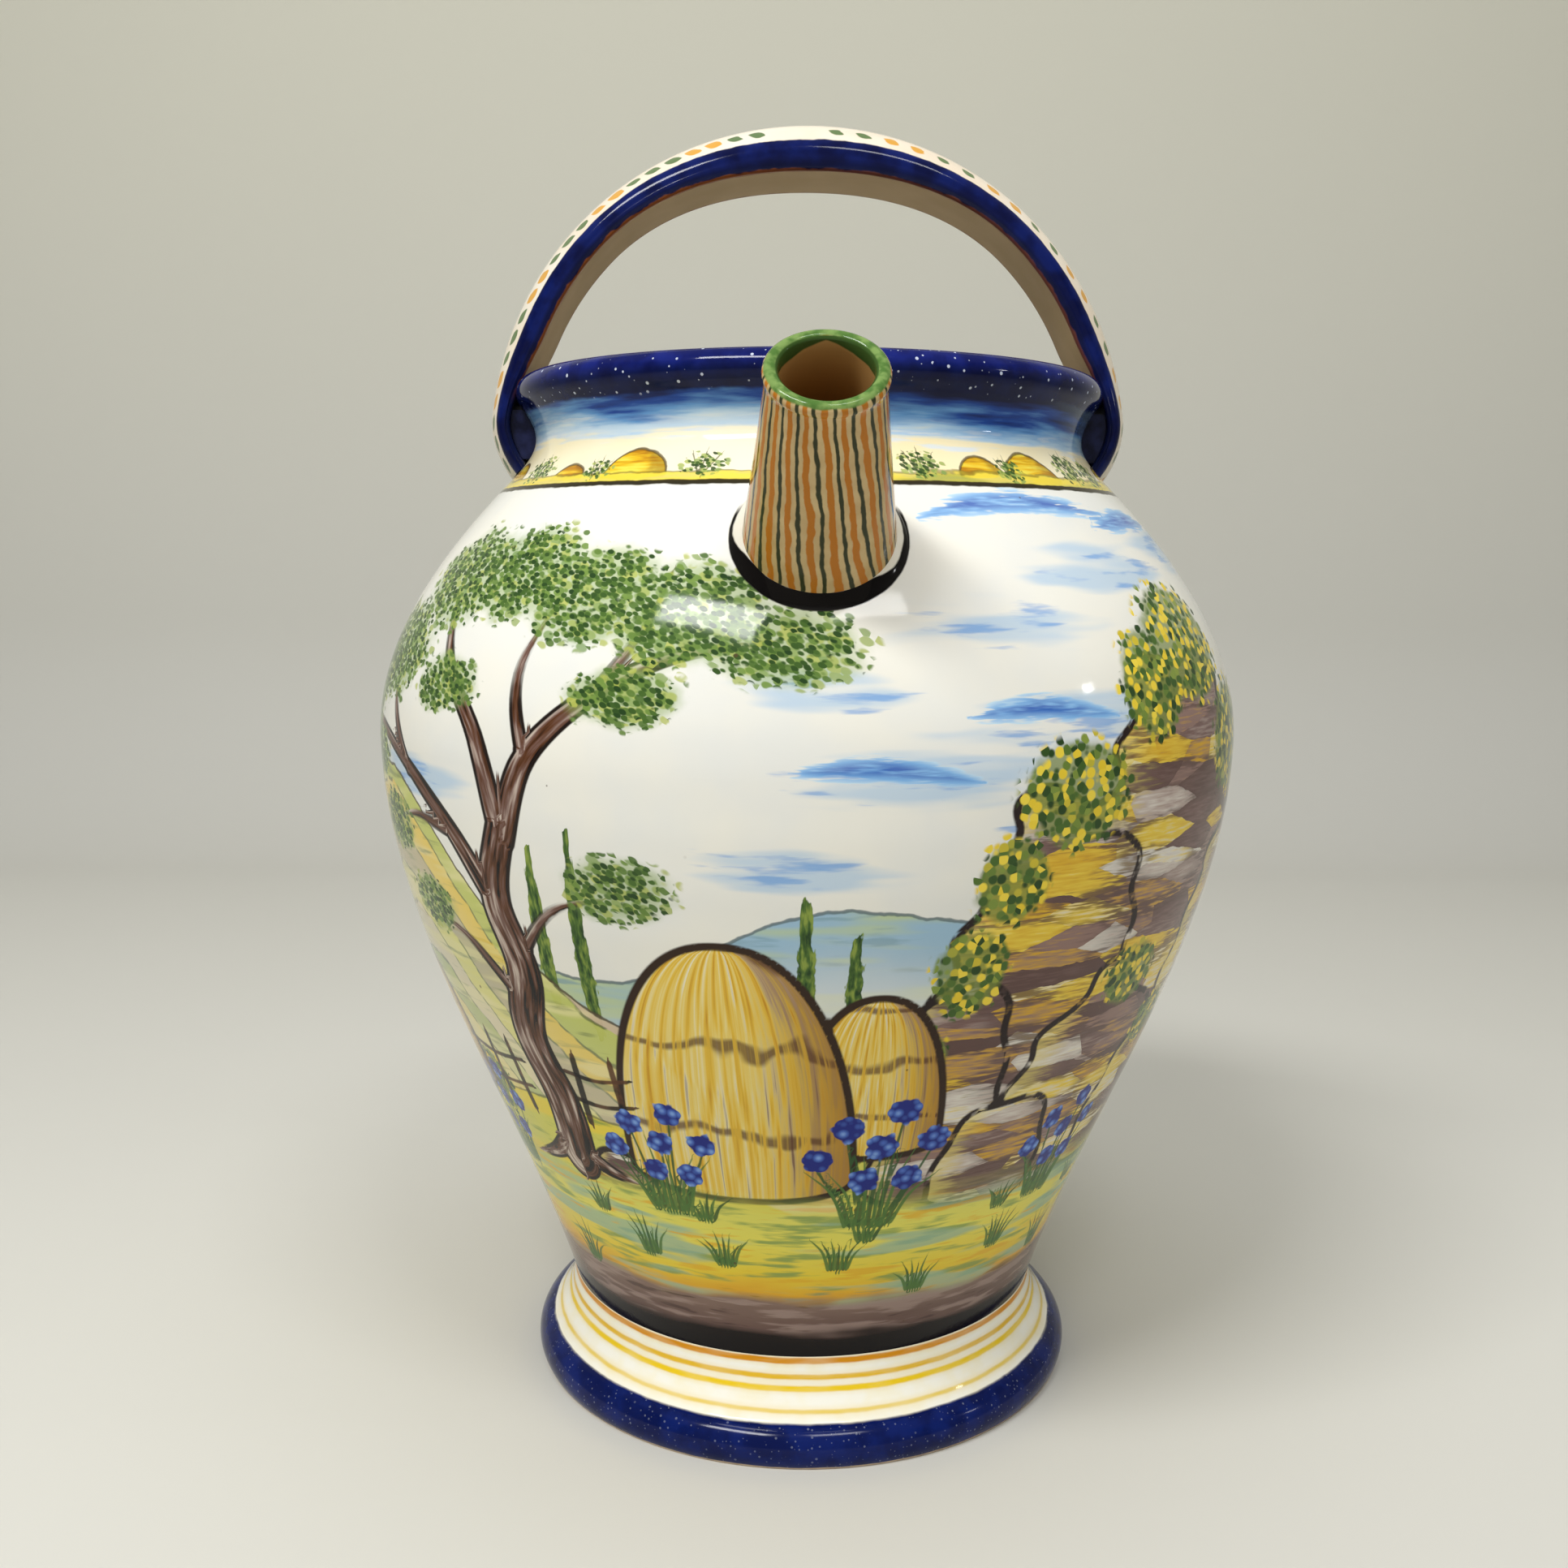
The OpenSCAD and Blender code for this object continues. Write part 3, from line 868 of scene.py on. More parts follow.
class Sketch:
    """The drawing on one turned piece: numbers at its points that the nodes turn into paint."""

    def __init__(self, piece):
        points = mesh_points(piece)
        self.piece = piece
        self.x = np.arctan2(points[:, 0], -points[:, 1]) * PAINT_R
        self.z = points[:, 2]
        self.inks = {}
        self.masses = {}

    def ink(self, name, points, start, end, swell=0.0):
        """A line of a brush, with its half width at both ends and what it gains in the middle."""
        if name not in self.inks:
            many = len(self.x)
            self.inks[name] = [np.full(many, FAR_OFF), np.zeros(many), np.full(many, FAR_OFF)]
        side, width, room = self.inks[name]
        line = flowing(points)
        reach = max(start, end) + swell + 9.0
        x = nearest_way(self.x, line[:, 0].mean())
        near = (x > line[:, 0].min() - reach) & (x < line[:, 0].max() + reach)
        near &= (self.z > line[:, 1].min() - reach) & (self.z < line[:, 1].max() + reach)
        at = np.nonzero(near)[0]
        if not len(at):
            return
        spots = np.stack([x[at], self.z[at]], -1)
        best = np.full(len(at), 1e9)
        best_side = np.zeros(len(at))
        best_share = np.zeros(len(at))
        for i in range(len(line) - 1):
            way = line[i + 1] - line[i]
            from_a = spots - line[i]
            t = np.clip(from_a @ way / max(way @ way, 1e-9), 0, 1)
            off = from_a - t[:, None] * way
            far = np.hypot(off[:, 0], off[:, 1])
            closer = far < best
            turn = np.sign(way[0] * from_a[:, 1] - way[1] * from_a[:, 0])
            best = np.where(closer, far, best)
            best_side = np.where(closer, far * turn, best_side)
            best_share = np.where(closer, (i + t) / (len(line) - 1), best_share)
        own_width = start + (end - start) * best_share + swell * 4 * best_share * (1 - best_share)
        better = best - own_width < room[at]
        side[at] = np.where(better, best_side, side[at])
        width[at] = np.where(better, own_width, width[at])
        room[at] = np.where(better, best - own_width, room[at])

    def spread(self, name, values):
        """Adds to a mass wherever it gets denser."""
        self.masses[name] = np.maximum(self.masses.get(name, 0.0), values)

    def mass(self, name, centre, level, half, height):
        """A soft oval mass about a centre and a level, with its half width and half height."""
        x = nearest_way(self.x, centre)
        far = np.hypot((x - centre) / half, (self.z - level) / height)
        self.spread(name, ease((1.32 - far) / 0.95))

    def flame(self, name, centre, base, half, height):
        """A mass that stands on its base and narrows to a point."""
        x = nearest_way(self.x, centre)
        up = np.clip((self.z - base) / height, -0.3, 1.3)
        wide = half * np.sqrt(np.clip(up + 0.12, 0.001, 1)) * np.clip(1.03 - up, 0.0, 1) ** 0.8
        inside = 1.0 - np.abs(x - centre) / np.maximum(wide, 0.05)
        self.spread(name, np.clip(inside * 1.4 + 0.25, 0, 1) * (up > -0.08) * (up < 1.05))

    def store(self):
        for name, parts in self.inks.items():
            for part, values in zip(("_side", "_width", "_room"), parts):
                add_field(self.piece, name + part, values)
        for name, values in self.masses.items():
            add_field(self.piece, name, values)


def hill_tops(x):
    """Heights of three rows of hills round the jug, far to near."""
    a = x / PAINT_R
    far = 174 + 9 * np.sin(2 * a + 0.5) + 6 * np.sin(5 * a + 1.0) + 3 * np.sin(9 * a + 2.0)
    hillside = 66 * np.exp(-((a + 1.10) / 0.46) ** 2)
    mid = 146 + 9 * np.sin(3 * a - 0.8) + 6 * np.sin(4 * a + 2.0) + hillside
    near = 114 + 5 * np.sin(2 * a + 1.2) + 4 * np.sin(6 * a + 0.4)
    return far, mid, near


class Heaps:
    """Rounded forms that stand on the ground, drawn from back to front: haystacks, boulders or knolls."""

    def __init__(self, sketch, power):
        self.sketch = sketch
        self.power = power
        self.edge = np.full(len(sketch.x), FAR_OFF)
        self.line = np.full(len(sketch.x), FAR_OFF)
        self.across = np.zeros(len(sketch.x))
        self.up = np.zeros(len(sketch.x))

    def add(self, centre, base, half, height, rough):
        """One heap: the distance to its edge, below zero inside, to any line, and places across and up it."""
        x = nearest_way(self.sketch.x, centre) - centre
        z = self.sketch.z - base

        def shape(x, z):
            up = z / height
            uneven = 1 + rough * np.sin(x * 0.21 + centre) + rough * np.sin(z * 0.33 + 2 * centre)
            wide = half * (1.03 - 0.14 * np.clip(up, 0, 1)) * uneven
            under = np.maximum(0, -up * 9) ** 2
            return np.abs(x / wide) ** self.power + np.maximum(0, up / uneven) ** self.power + under - 1

        probe = 0.5
        value = shape(x, z)
        slope_x = (shape(x + probe, z) - shape(x - probe, z)) / (2 * probe)
        slope_z = (shape(x, z + probe) - shape(x, z - probe)) / (2 * probe)
        far = value / np.maximum(np.hypot(slope_x, slope_z), 0.01)
        far = np.clip(far, -FAR_OFF, FAR_OFF)
        inside = far < 0
        close = inside | (far < 4) & (self.edge > 0)
        self.edge = np.where(inside, far, np.minimum(self.edge, far))
        self.line = np.where(inside, -far, np.minimum(self.line, far))
        taper = np.maximum(1 - np.clip(z / height, 0, 1) ** self.power, 0.02) ** (1 / self.power)
        self.across = np.where(close, x / (half * taper), self.across)
        self.up = np.where(close, z / height, self.up)

    def store(self, name):
        for part in ("edge", "line", "across", "up"):
            add_field(self.sketch.piece, f"{name}_{part}", getattr(self, part))


def draw_heaps(sketch, name, heaps, power, rough=0.0):
    """Heaps of one kind, each with its middle, base, half width and height."""
    drawn = Heaps(sketch, power)
    for heap in heaps:
        drawn.add(*heap, rough)
    drawn.store(name)


# A tree: branches as points from its foot with half widths at both ends, and its masses of leaves
BRANCHES = [
    ([(0, 0), (-2, 20), (2, 42), (-4, 64), (0, 86), (-6, 108)], 8.5, 4.6),
    ([(-1, 82), (14, 104), (34, 120), (58, 130), (76, 132)], 3.6, 0.6),
    ([(-6, 104), (-15, 128), (-33, 146), (-52, 156), (-74, 160)], 4.0, 0.6),
    ([(-6, 104), (2, 132), (18, 152), (30, 174)], 3.6, 0.6),
    ([(-15, 126), (-10, 150), (-16, 170)], 2.0, 0.5),
    ([(34, 119), (46, 138), (52, 158)], 1.8, 0.5),
    ([(-33, 146), (-43, 163), (-47, 178)], 1.5, 0.5),
    ([(14, 103), (32, 106), (48, 102)], 1.6, 0.4),
    ([(2, 56), (16, 70), (30, 75)], 1.9, 0.5),
    ([(-3, 66), (-18, 84), (-34, 90)], 1.8, 0.5),
    ([(0, 5), (-12, -2), (-24, -5)], 4.2, 0.5),
    ([(2, 5), (14, -2), (28, -6)], 4.2, 0.5),
]
LEAVES = [
    (-78, 159, 20, 12), (-54, 167, 24, 15), (-26, 172, 22, 15), (0, 177, 24, 14), (30, 176, 26, 15),
    (56, 154, 26, 16), (80, 134, 20, 13), (50, 101, 16, 10), (33, 78, 14, 9), (-38, 93, 16, 10),
    (-40, 145, 16, 9), (18, 146, 15, 9), (64, 122, 15, 9), (76, 146, 22, 14), (82, 112, 16, 11),
]


def draw_tree(sketch, x, z, size, way):
    """One tree from its foot, turned to one side or the other by a way of 1 or -1."""
    for points, start, end in BRANCHES:
        placed = [(x + way * size * dx, z + size * dz) for dx, dz in points]
        sketch.ink("wood", placed, start * size, end * size)
    for dx, dz, half, height in LEAVES:
        sketch.mass("leaf", x + way * size * dx, z + size * dz, half * size, height * size)


def draw_fence(sketch, x, z, posts, pitch):
    """A fence of posts, each with a tilt of its own, and two rails."""
    last = x + pitch * (posts - 1)
    for i in range(posts):
        foot = x + pitch * i
        tilt = 1.2 * math.sin(2.3 * i + x)
        sketch.ink("line", [(foot, z), (foot + tilt, z + 23)], 1.3, 1.1)
    for height in (8, 17):
        rail = [(x - 4, z + height), ((x + last) / 2, z + height - 1.2), (last + 4, z + height + 0.6)]
        sketch.ink("rail", rail, 0.8, 0.7)


def draw_blades(sketch, x, z, count, height, spread, dice):
    """A tuft of grass or leaves that fans out from one foot."""
    for i in range(count):
        lean = (i / max(count - 1, 1) - 0.5) * 2
        tall = height * (0.65 + 0.5 * dice.random()) * (1 - 0.28 * abs(lean))
        foot = x + lean * spread * 0.45
        tip = x + lean * spread * (1.0 + 0.4 * dice.random())
        name = "blade" if i % 2 else "blade_two"
        mid = ((foot * 0.62 + tip * 0.38), z + tall * 0.6)
        sketch.ink(name, [(foot, z), mid, (tip, z + tall)], 0.85, 0.12)


def draw_flowers(sketch, x, z, size, dice):
    """A clump of sword leaves with blossoms above them."""
    draw_blades(sketch, x, z, 11, 27 * size, 17 * size, dice)
    for dx, dz in ((-17, 22), (-9, 32), (1, 26), (6, 37), (16, 27), (-3, 15), (10, 15)):
        foot = x + dx * size
        sketch.mass("bloom", foot, z + dz * size, 5.4 * size, 4.8 * size)
        sketch.ink("blade", [(x + dx * 0.4 * size, z), (foot, z + (dz - 3) * size)], 0.5, 0.4)


# Haystacks, boulders and bushes: the middle, the base, half the width, and the height
STACKS = [
    (16, 113, 22, 48), (-24, 100, 36, 76), (232, 112, 24, 50), (-262, 102, 40, 84), (-214, 98, 26, 52),
    (-150, 112, 20, 40),
]
BOULDERS = [
    (106, 104, 52, 148), (60, 98, 34, 116), (152, 98, 34, 112), (38, 96, 20, 68), (90, 94, 32, 66),
    (130, 92, 28, 44), (62, 90, 22, 32), (-66, 92, 12, 11), (-330, 100, 40, 92), (-298, 96, 28, 50),
    (-318, 92, 20, 26),
]
BUSHES = [
    (112, 246, 30, 42), (90, 236, 18, 40), (138, 216, 26, 44), (62, 208, 22, 38), (46, 186, 14, 32),
    (38, 160, 14, 32), (28, 136, 11, 24), (96, 152, 16, 26), (124, 132, 15, 22), (-330, 186, 26, 40),
    (-300, 142, 18, 30), (-280, 116, 14, 24), (-124, 108, 16, 28), (-142, 106, 13, 24), (196, 112, 18, 30),
    (176, 160, 18, 34),
]
# Slim trees: the middle and the height
SLIM_TREES = [
    (-60, 58), (-72, 44), (-3, 52), (9, 40), (-176, 56), (-190, 44), (212, 50), (-230, 46), (256, 42),
    (352, 50), (364, 38),
]
# Soft strokes in the sky: the middle, the level, half the width and half the height
SKY_STROKES = [
    (44, 262, 34, 8), (64, 236, 40, 9), (20, 222, 40, 8), (58, 206, 26, 7), (-8, 198, 34, 7), (4, 244, 26, 6),
    (-120, 214, 30, 7), (150, 282, 44, 9), (92, 276, 36, 8), (230, 258, 52, 11), (214, 226, 36, 8),
    (-200, 246, 40, 10), (-250, 266, 50, 10), (-312, 250, 44, 9), (-230, 222, 34, 8), (346, 210, 30, 8),
]
# Lines of a blue brush in the sky
BLUE_STROKES = [
    [(30, 290), (48, 294), (74, 295), (110, 292)], [(96, 288), (120, 291), (146, 290)],
    [(200, 291), (246, 294), (290, 292)], [(-190, 292), (-240, 294), (-280, 291)],
    [(34, 238), (52, 240), (74, 237)], [(-6, 224), (14, 225), (36, 221)],
]
# Flowers: the middle, the foot and the size. Fences: the first post, the foot, the posts and their pitch
FLOWERS = [(-50, 85, 0.95), (20, 83, 1.1), (94, 82, 0.9), (-130, 84, 0.9), (210, 86, 1.0), (-266, 84, 0.9)]
FENCES = [(-132, 110, 3, 15), (-74, 112, 2, 15), (-190, 108, 3, 15), (250, 106, 4, 15)]


def draw_picture(piece):
    """A landscape of hills, haystacks, trees, boulders, fences and flowers, all round the jug."""
    dice = np.random.default_rng(11)
    sketch = Sketch(piece)
    for name, top in zip(("far_hill", "mid_hill", "near_hill"), hill_tops(sketch.x)):
        add_field(piece, name, sketch.z - top)
    # A stroke far below the jug gives every brush its fields on both pieces
    for name in ("wood", "line", "rail", "path", "blue", "blade", "blade_two"):
        sketch.ink(name, [(0, -200), (1, -200)], 0.1, 0.1)
    for name in ("leaf", "bush", "slim", "bloom", "sky"):
        sketch.mass(name, 0, -200, 1, 1)

    draw_heaps(sketch, "stack", STACKS, 2.3)
    draw_heaps(sketch, "rock", BOULDERS, 2.7, 0.04)
    draw_tree(sketch, -86, 97, 1.0, -1)
    draw_tree(sketch, 306, 96, 0.95, -1)
    for x, base, half, height in BUSHES:
        sketch.mass("bush", x, base + height * 0.22, half * 0.72, height * 0.40)
    for x, height in SLIM_TREES:
        sketch.flame("slim", x, hill_tops(x)[1] - 4, 4.6, height)
    sketch.ink("path", [(-12, 76), (4, 88), (-20, 100), (-46, 111), (-40, 124), (-20, 134)], 9.0, 2.0)
    sketch.ink("path", [(-180, 80), (-160, 96), (-178, 110), (-196, 122)], 9.0, 2.5)
    for x, z, posts, pitch in FENCES:
        draw_fence(sketch, x, z, posts, pitch)
    for x, z, size in FLOWERS:
        draw_flowers(sketch, x, z, size, dice)
    for x in np.arange(-372, 372, 37):
        draw_blades(sketch, x + 14 * dice.random(), 53 + 14 * dice.random(), 7, 14, 8, dice)
    for x in np.arange(-360, 372, 53):
        draw_blades(sketch, x + 16 * dice.random(), 76 + 8 * dice.random(), 6, 10, 7, dice)
    for x, z, half, height in SKY_STROKES:
        sketch.mass("sky", x, z, half, height)
    for points in BLUE_STROKES:
        sketch.ink("blue", points, 0.2, 0.2, 2.6)
    sketch.store()
    mark_inside(piece)


def mark_inside(piece):
    """A field that is 1 on the inside of a thrown piece."""
    points = mesh_points(piece)
    depth = body_r(points[:, 2]) - np.hypot(points[:, 0], points[:, 1])
    add_field(piece, "inside", (depth > 2.0).astype(float))


# Knolls on the collar: the middle, the base, half the width, and the height
COLLAR_KNOLLS = [
    (-66, 302, 13, 7.5), (-98, 302, 9, 4.0), (60, 302, 9, 6.0), (84, 302, 15, 7.0), (-150, 302, 14, 6),
    (150, 302, 12, 6.5), (210, 302, 14, 7), (270, 302, 10, 5), (320, 302, 14, 7), (-210, 302, 12, 6),
    (-268, 302, 15, 7.5), (-330, 302, 11, 5.5),
]
# Shrubs on the collar: the middle, the level, half the width and half the height
COLLAR_SHRUBS = [
    (-122, 305, 12, 4.5), (-84, 304, 8, 3.5), (-40, 305, 10, 4.0), (36, 305, 10, 4.6), (72, 304, 7, 4.0),
    (110, 306, 12, 5.4), (128, 305, 9, 5.0), (-172, 305, 12, 5), (180, 305, 11, 5), (240, 306, 14, 5),
    (296, 305, 10, 4.5), (350, 305, 12, 5), (-240, 305, 10, 5), (-300, 306, 13, 5), (-360, 305, 11, 4.5),
]


def draw_collar(piece):
    """A strip of low ground with knolls and shrubs."""
    sketch = Sketch(piece)
    draw_heaps(sketch, "knoll", COLLAR_KNOLLS, 2.0, 0.06)
    for x, z, half, height in COLLAR_SHRUBS:
        sketch.mass("leaf", x, z, half, height)
        for lean in (-0.5, 0.0, 0.55):
            tip = (x + lean * half, z + height * (0.9 - 0.4 * abs(lean)))
            sketch.ink("wood", [(x + lean * 2, COLLAR_Z + 2.5), tip], 0.35, 0.2)
    sketch.store()


# The glazes


def ink_share(pen, name, uneven, edge=0.28):
    """Cover of the lines of one brush."""
    reach = abs(pen.field(name + "_side")) + uneven * 0.7 - pen.field(name + "_width")
    return reach.step(edge, -edge) * pen.field(name + "_room").step(1.7, 0.9)


def leaf_paint(pen, leaf, scale, passes):
    """Leaves in passes of dabs, each with its size, its limit, its two greens and its strength."""
    for i, (size, limit, dark, light, strength) in enumerate(passes):
        tilt = pen.vector(pen.x + 40.0 * i, pen.y, pen.z * 1.5 + pen.x * 0.45)
        far, own, tint = pen.cells(tilt, size * scale)
        cover = (own * 0.75 + leaf).step(limit, limit + 0.10) * far.step(0.62, 0.44)
        pen.lay(cover * strength, pen.mix(tint, dark, light))


def body_glaze():
    pen = Pen("painted_body")
    z = pen.z
    uneven = pen.cloud(5.5)
    wide = pen.cloud(24.0)
    level = pen.level(0.13)
    streak = pen.noise(level, 3.0, 3.0)
    broad = pen.noise(level, 7.5, 2.0)
    dry = pen.noise(pen.level(0.10), 0.9, 2.0)

    pen.colour = pen.mix(wide.step(-0.2, 0.25), WHITE, WHITE_COOL)

    # Sky: pale drawn-out strokes of blue
    sky = pen.field("sky")
    cover = (broad + sky * 0.34).step(0.64, 0.86) * sky.step(0.02, 0.3)
    pen.lay(cover * 0.55, BLUE_PALE)
    cover = (streak + sky * 0.30).step(0.78, 0.94) * sky.step(0.05, 0.4)
    pen.lay(cover * 0.7, (0.14, 0.34, 0.70))
    cover = ink_share(pen, "blue", (streak - 0.5) * 7.0 + (dry - 0.5) * 9.0, 1.6)
    wash = pen.tints(
        cover * 0.7 + (streak - 0.5) * 1.4 + (dry - 0.5) * 1.6,
        (0.05, (0.52, 0.72, 0.87)), (0.45, (0.20, 0.44, 0.77)), (0.95, (0.020, 0.11, 0.46)),
    )
    pen.lay(cover.step(0.02, 0.50) * 0.9, wash)

    # Far hills: thin blue and green washes under a loose line
    edge = pen.field("far_hill") + uneven * 2.0
    wash = pen.mix(broad.step(0.40, 0.60), (0.26, 0.46, 0.62), (0.44, 0.56, 0.30))
    wash = pen.mix(streak.step(0.54, 0.68) * 0.7, wash, (0.12, 0.28, 0.36))
    fade = edge.step(-30.0, -4.0) * 0.62 + 0.25
    pen.lay(edge.step(0.7, -0.7) * fade, wash)
    pen.lay(abs(edge).step(0.75, 0.25) * 0.8, (0.07, 0.12, 0.14))

    # Slim trees
    slim = pen.field("slim")
    grain = pen.noise(pen.vector(pen.x, pen.y, z * 0.16), 1.5, 2.0)
    wash = pen.tints(grain, (0.34, GREEN_DARK), (0.50, GREEN), (0.66, GREEN_LIGHT))
    cover = (slim + (grain - 0.5) * 1.3).step(0.24, 0.40) * slim.step(0.02, 0.12)
    pen.lay(cover, wash)

    # Middle hills: fields in yellow, green and brown with hedges between them
    edge = pen.field("mid_hill") + uneven * 2.2
    place = edge / 13.0 + wide * 0.9 + pen.x * 0.012
    field = pen.math("FLOOR", place)
    hedge = abs(place - field - 0.5)
    wash = pen.tints(
        pen.math("FRACT", field * 0.381 + 7.2),
        (0.0, (0.82, 0.56, 0.05)), (0.25, (0.84, 0.74, 0.20)), (0.50, (0.46, 0.54, 0.12)),
        (0.75, (0.58, 0.42, 0.30)), (1.0, (0.86, 0.78, 0.46)),
    )
    wash = pen.over(
        wash,
        (broad.step(0.50, 0.62) * 0.6, (0.86, 0.78, 0.40)),
        (streak.step(0.56, 0.72) * 0.7, (0.20, 0.24, 0.06)),
        (hedge.step(0.43, 0.48) * uneven.step(-0.16, 0.04) * 0.8, (0.10, 0.13, 0.03)),
    )
    fade = edge.step(-30.0, -2.0) * 0.15 + 0.8
    pen.lay(edge.step(0.7, -0.7) * fade, wash)
    pen.lay(abs(edge).step(0.8, 0.25) * 0.85, (0.055, 0.04, 0.015))

    # Nearer ground
    edge = pen.field("near_hill") + uneven * 2.4
    wash = pen.mix(broad.step(0.36, 0.58), (0.84, 0.66, 0.05), (0.66, 0.64, 0.10))
    wash = pen.mix(streak.step(0.54, 0.70) * 0.8, wash, (0.24, 0.34, 0.06))
    pen.lay(edge.step(0.8, -0.8) * 0.94, wash)
    pen.lay(abs(edge).step(0.7, 0.2) * 0.6, (0.05, 0.06, 0.02))

    # Path
    cover = ink_share(pen, "path", uneven * 3.0, 0.8)
    sand = pen.mix(streak.step(0.4, 0.62), (0.84, 0.76, 0.52), (0.76, 0.52, 0.16))
    pen.lay(cover * 0.9, sand)

    # Bluff and boulders: short level brush strokes of mauve, brown and yellow
    edge = pen.field("rock_edge") + uneven * 1.4
    across = pen.field("rock_across")
    slant = pen.vector(pen.x * 0.22, pen.y * 0.22, z + 140.0 + uneven * 2.0)
    far, _, tint = pen.cells(slant, 6.4)
    wash = pen.tints(
        tint + (dry - 0.5) * 0.35,
        (0.05, (0.130, 0.075, 0.065)), (0.20, (0.22, 0.135, 0.12)), (0.36, (0.52, 0.42, 0.37)),
        (0.50, (0.78, 0.74, 0.66)), (0.62, (0.84, 0.62, 0.07)), (0.78, (0.70, 0.40, 0.03)),
        (0.92, (0.30, 0.19, 0.16)),
    )
    wash = pen.over(
        wash,
        (far.step(0.42, 0.70) * dry.step(0.40, 0.55) * 0.8, (0.12, 0.07, 0.06)),
        ((across + (dry - 0.5) * 1.6).step(0.35, 1.1) * 0.75, (0.13, 0.08, 0.075)),
        ((across + (dry - 0.5) * 1.0).step(-0.45, -0.95) * 0.55, (0.86, 0.72, 0.20)),
    )
    pen.lay(edge.step(0.5, -0.5), wash)
    crack = pen.field("rock_line").step(1.5, 0.8) * uneven.step(-0.22, 0.0)
    line = pen.math("MAXIMUM", abs(edge + 0.3).step(1.05, 0.4), crack)
    pen.lay(line, (0.022, 0.013, 0.012))

    # Rounded bushes: green dabs with yellow blossom
    bush = pen.field("bush")
    far, own, tint = pen.cells(pen.spot, 2.5)
    pen.lay((bush + uneven * 0.5).step(0.20, 0.55) * 0.8, (0.20, 0.26, 0.05))
    cover = (bush + own * 0.5).step(0.45, 0.62) * far.step(0.75, 0.50) * bush.step(0.02, 0.14)
    shade = pen.tints(
        tint,
        (0.0, GREEN_DARK), (0.40, GREEN), (0.62, GREEN_LIGHT), (0.74, YELLOW), (0.95, (0.88, 0.68, 0.07)),
    )
    pen.lay(cover, shade)

    # Haystacks: straw strokes that run down from the top
    edge = pen.field("stack_edge") + uneven * 1.2
    across = pen.field("stack_across")
    up = pen.field("stack_up")
    straw = pen.noise(pen.vector(across * 17.0, up * 1.6 + wide * 0.8, 0.0), 1.0, 2.5)
    wash = pen.tints(
        straw,
        (0.30, (0.58, 0.28, 0.02)), (0.44, (0.80, 0.52, 0.06)), (0.56, (0.84, 0.66, 0.20)),
        (0.68, (0.86, 0.80, 0.60)),
    )
    shade = (across + (straw - 0.5) * 1.8).step(0.25, 0.95)
    tier = abs(pen.math("FRACT", up * 2.6 + wide * 0.8) - 0.5).step(0.085, 0.02)
    wash = pen.over(
        wash,
        (shade * 0.8, (0.30, 0.13, 0.035)),
        (straw.step(0.60, 0.68) * up.step(0.95, 0.2) * 0.6, BROWN),
        (tier * straw.step(0.38, 0.54) * 0.8, BROWN),
    )
    pen.lay(edge.step(0.5, -0.5), wash)
    rim = abs(edge + 0.2).step(0.95, 0.35)
    line = pen.math("MAXIMUM", rim, pen.field("stack_line").step(1.5, 0.8))
    pen.lay(line, (0.035, 0.018, 0.010))

    # Fences
    for name in ("rail", "line"):
        cover = ink_share(pen, name, uneven)
        pen.lay(cover * 0.95, pen.mix(uneven.step(-0.1, 0.15), BLACK, BROWN))

    # Ground bands above the foot
    level_z = z + 2.0 + wide * 5.0 + (broad - 0.5) * 9.0
    wash = pen.tints(
        (level_z - 31.0) / 66.0,
        (0.14, (0.010, 0.006, 0.005)), (0.20, (0.15, 0.09, 0.075)), (0.34, (0.25, 0.165, 0.13)),
        (0.37, (0.44, 0.27, 0.10)), (0.40, (0.78, 0.42, 0.03)), (0.50, (0.84, 0.64, 0.05)),
        (0.72, (0.82, 0.74, 0.12)), (0.92, (0.74, 0.72, 0.15)),
    )
    band = level_z.step(52.0, 58.0)
    mauve = level_z.step(41.0, 45.0) * level_z.step(60.0, 53.0)
    dark = (z + uneven * 2.5 + (streak - 0.5) * 6.0).step(38.3, 35.3)
    wash = pen.over(
        wash,
        (band * streak.step(0.52, 0.66) * 0.8, (0.20, 0.33, 0.10)),
        (band * broad.step(0.53, 0.62) * 0.75, (0.32, 0.50, 0.36)),
        (band * streak.step(0.44, 0.34) * 0.8, (0.80, 0.46, 0.03)),
        (mauve * streak.step(0.50, 0.62) * 0.6, (0.42, 0.31, 0.27)),
        (mauve * streak.step(0.42, 0.34) * 0.7, (0.07, 0.04, 0.035)),
        (dark, (0.006, 0.004, 0.004)),
    )
    pen.lay(level_z.step(98.0, 86.0), wash)

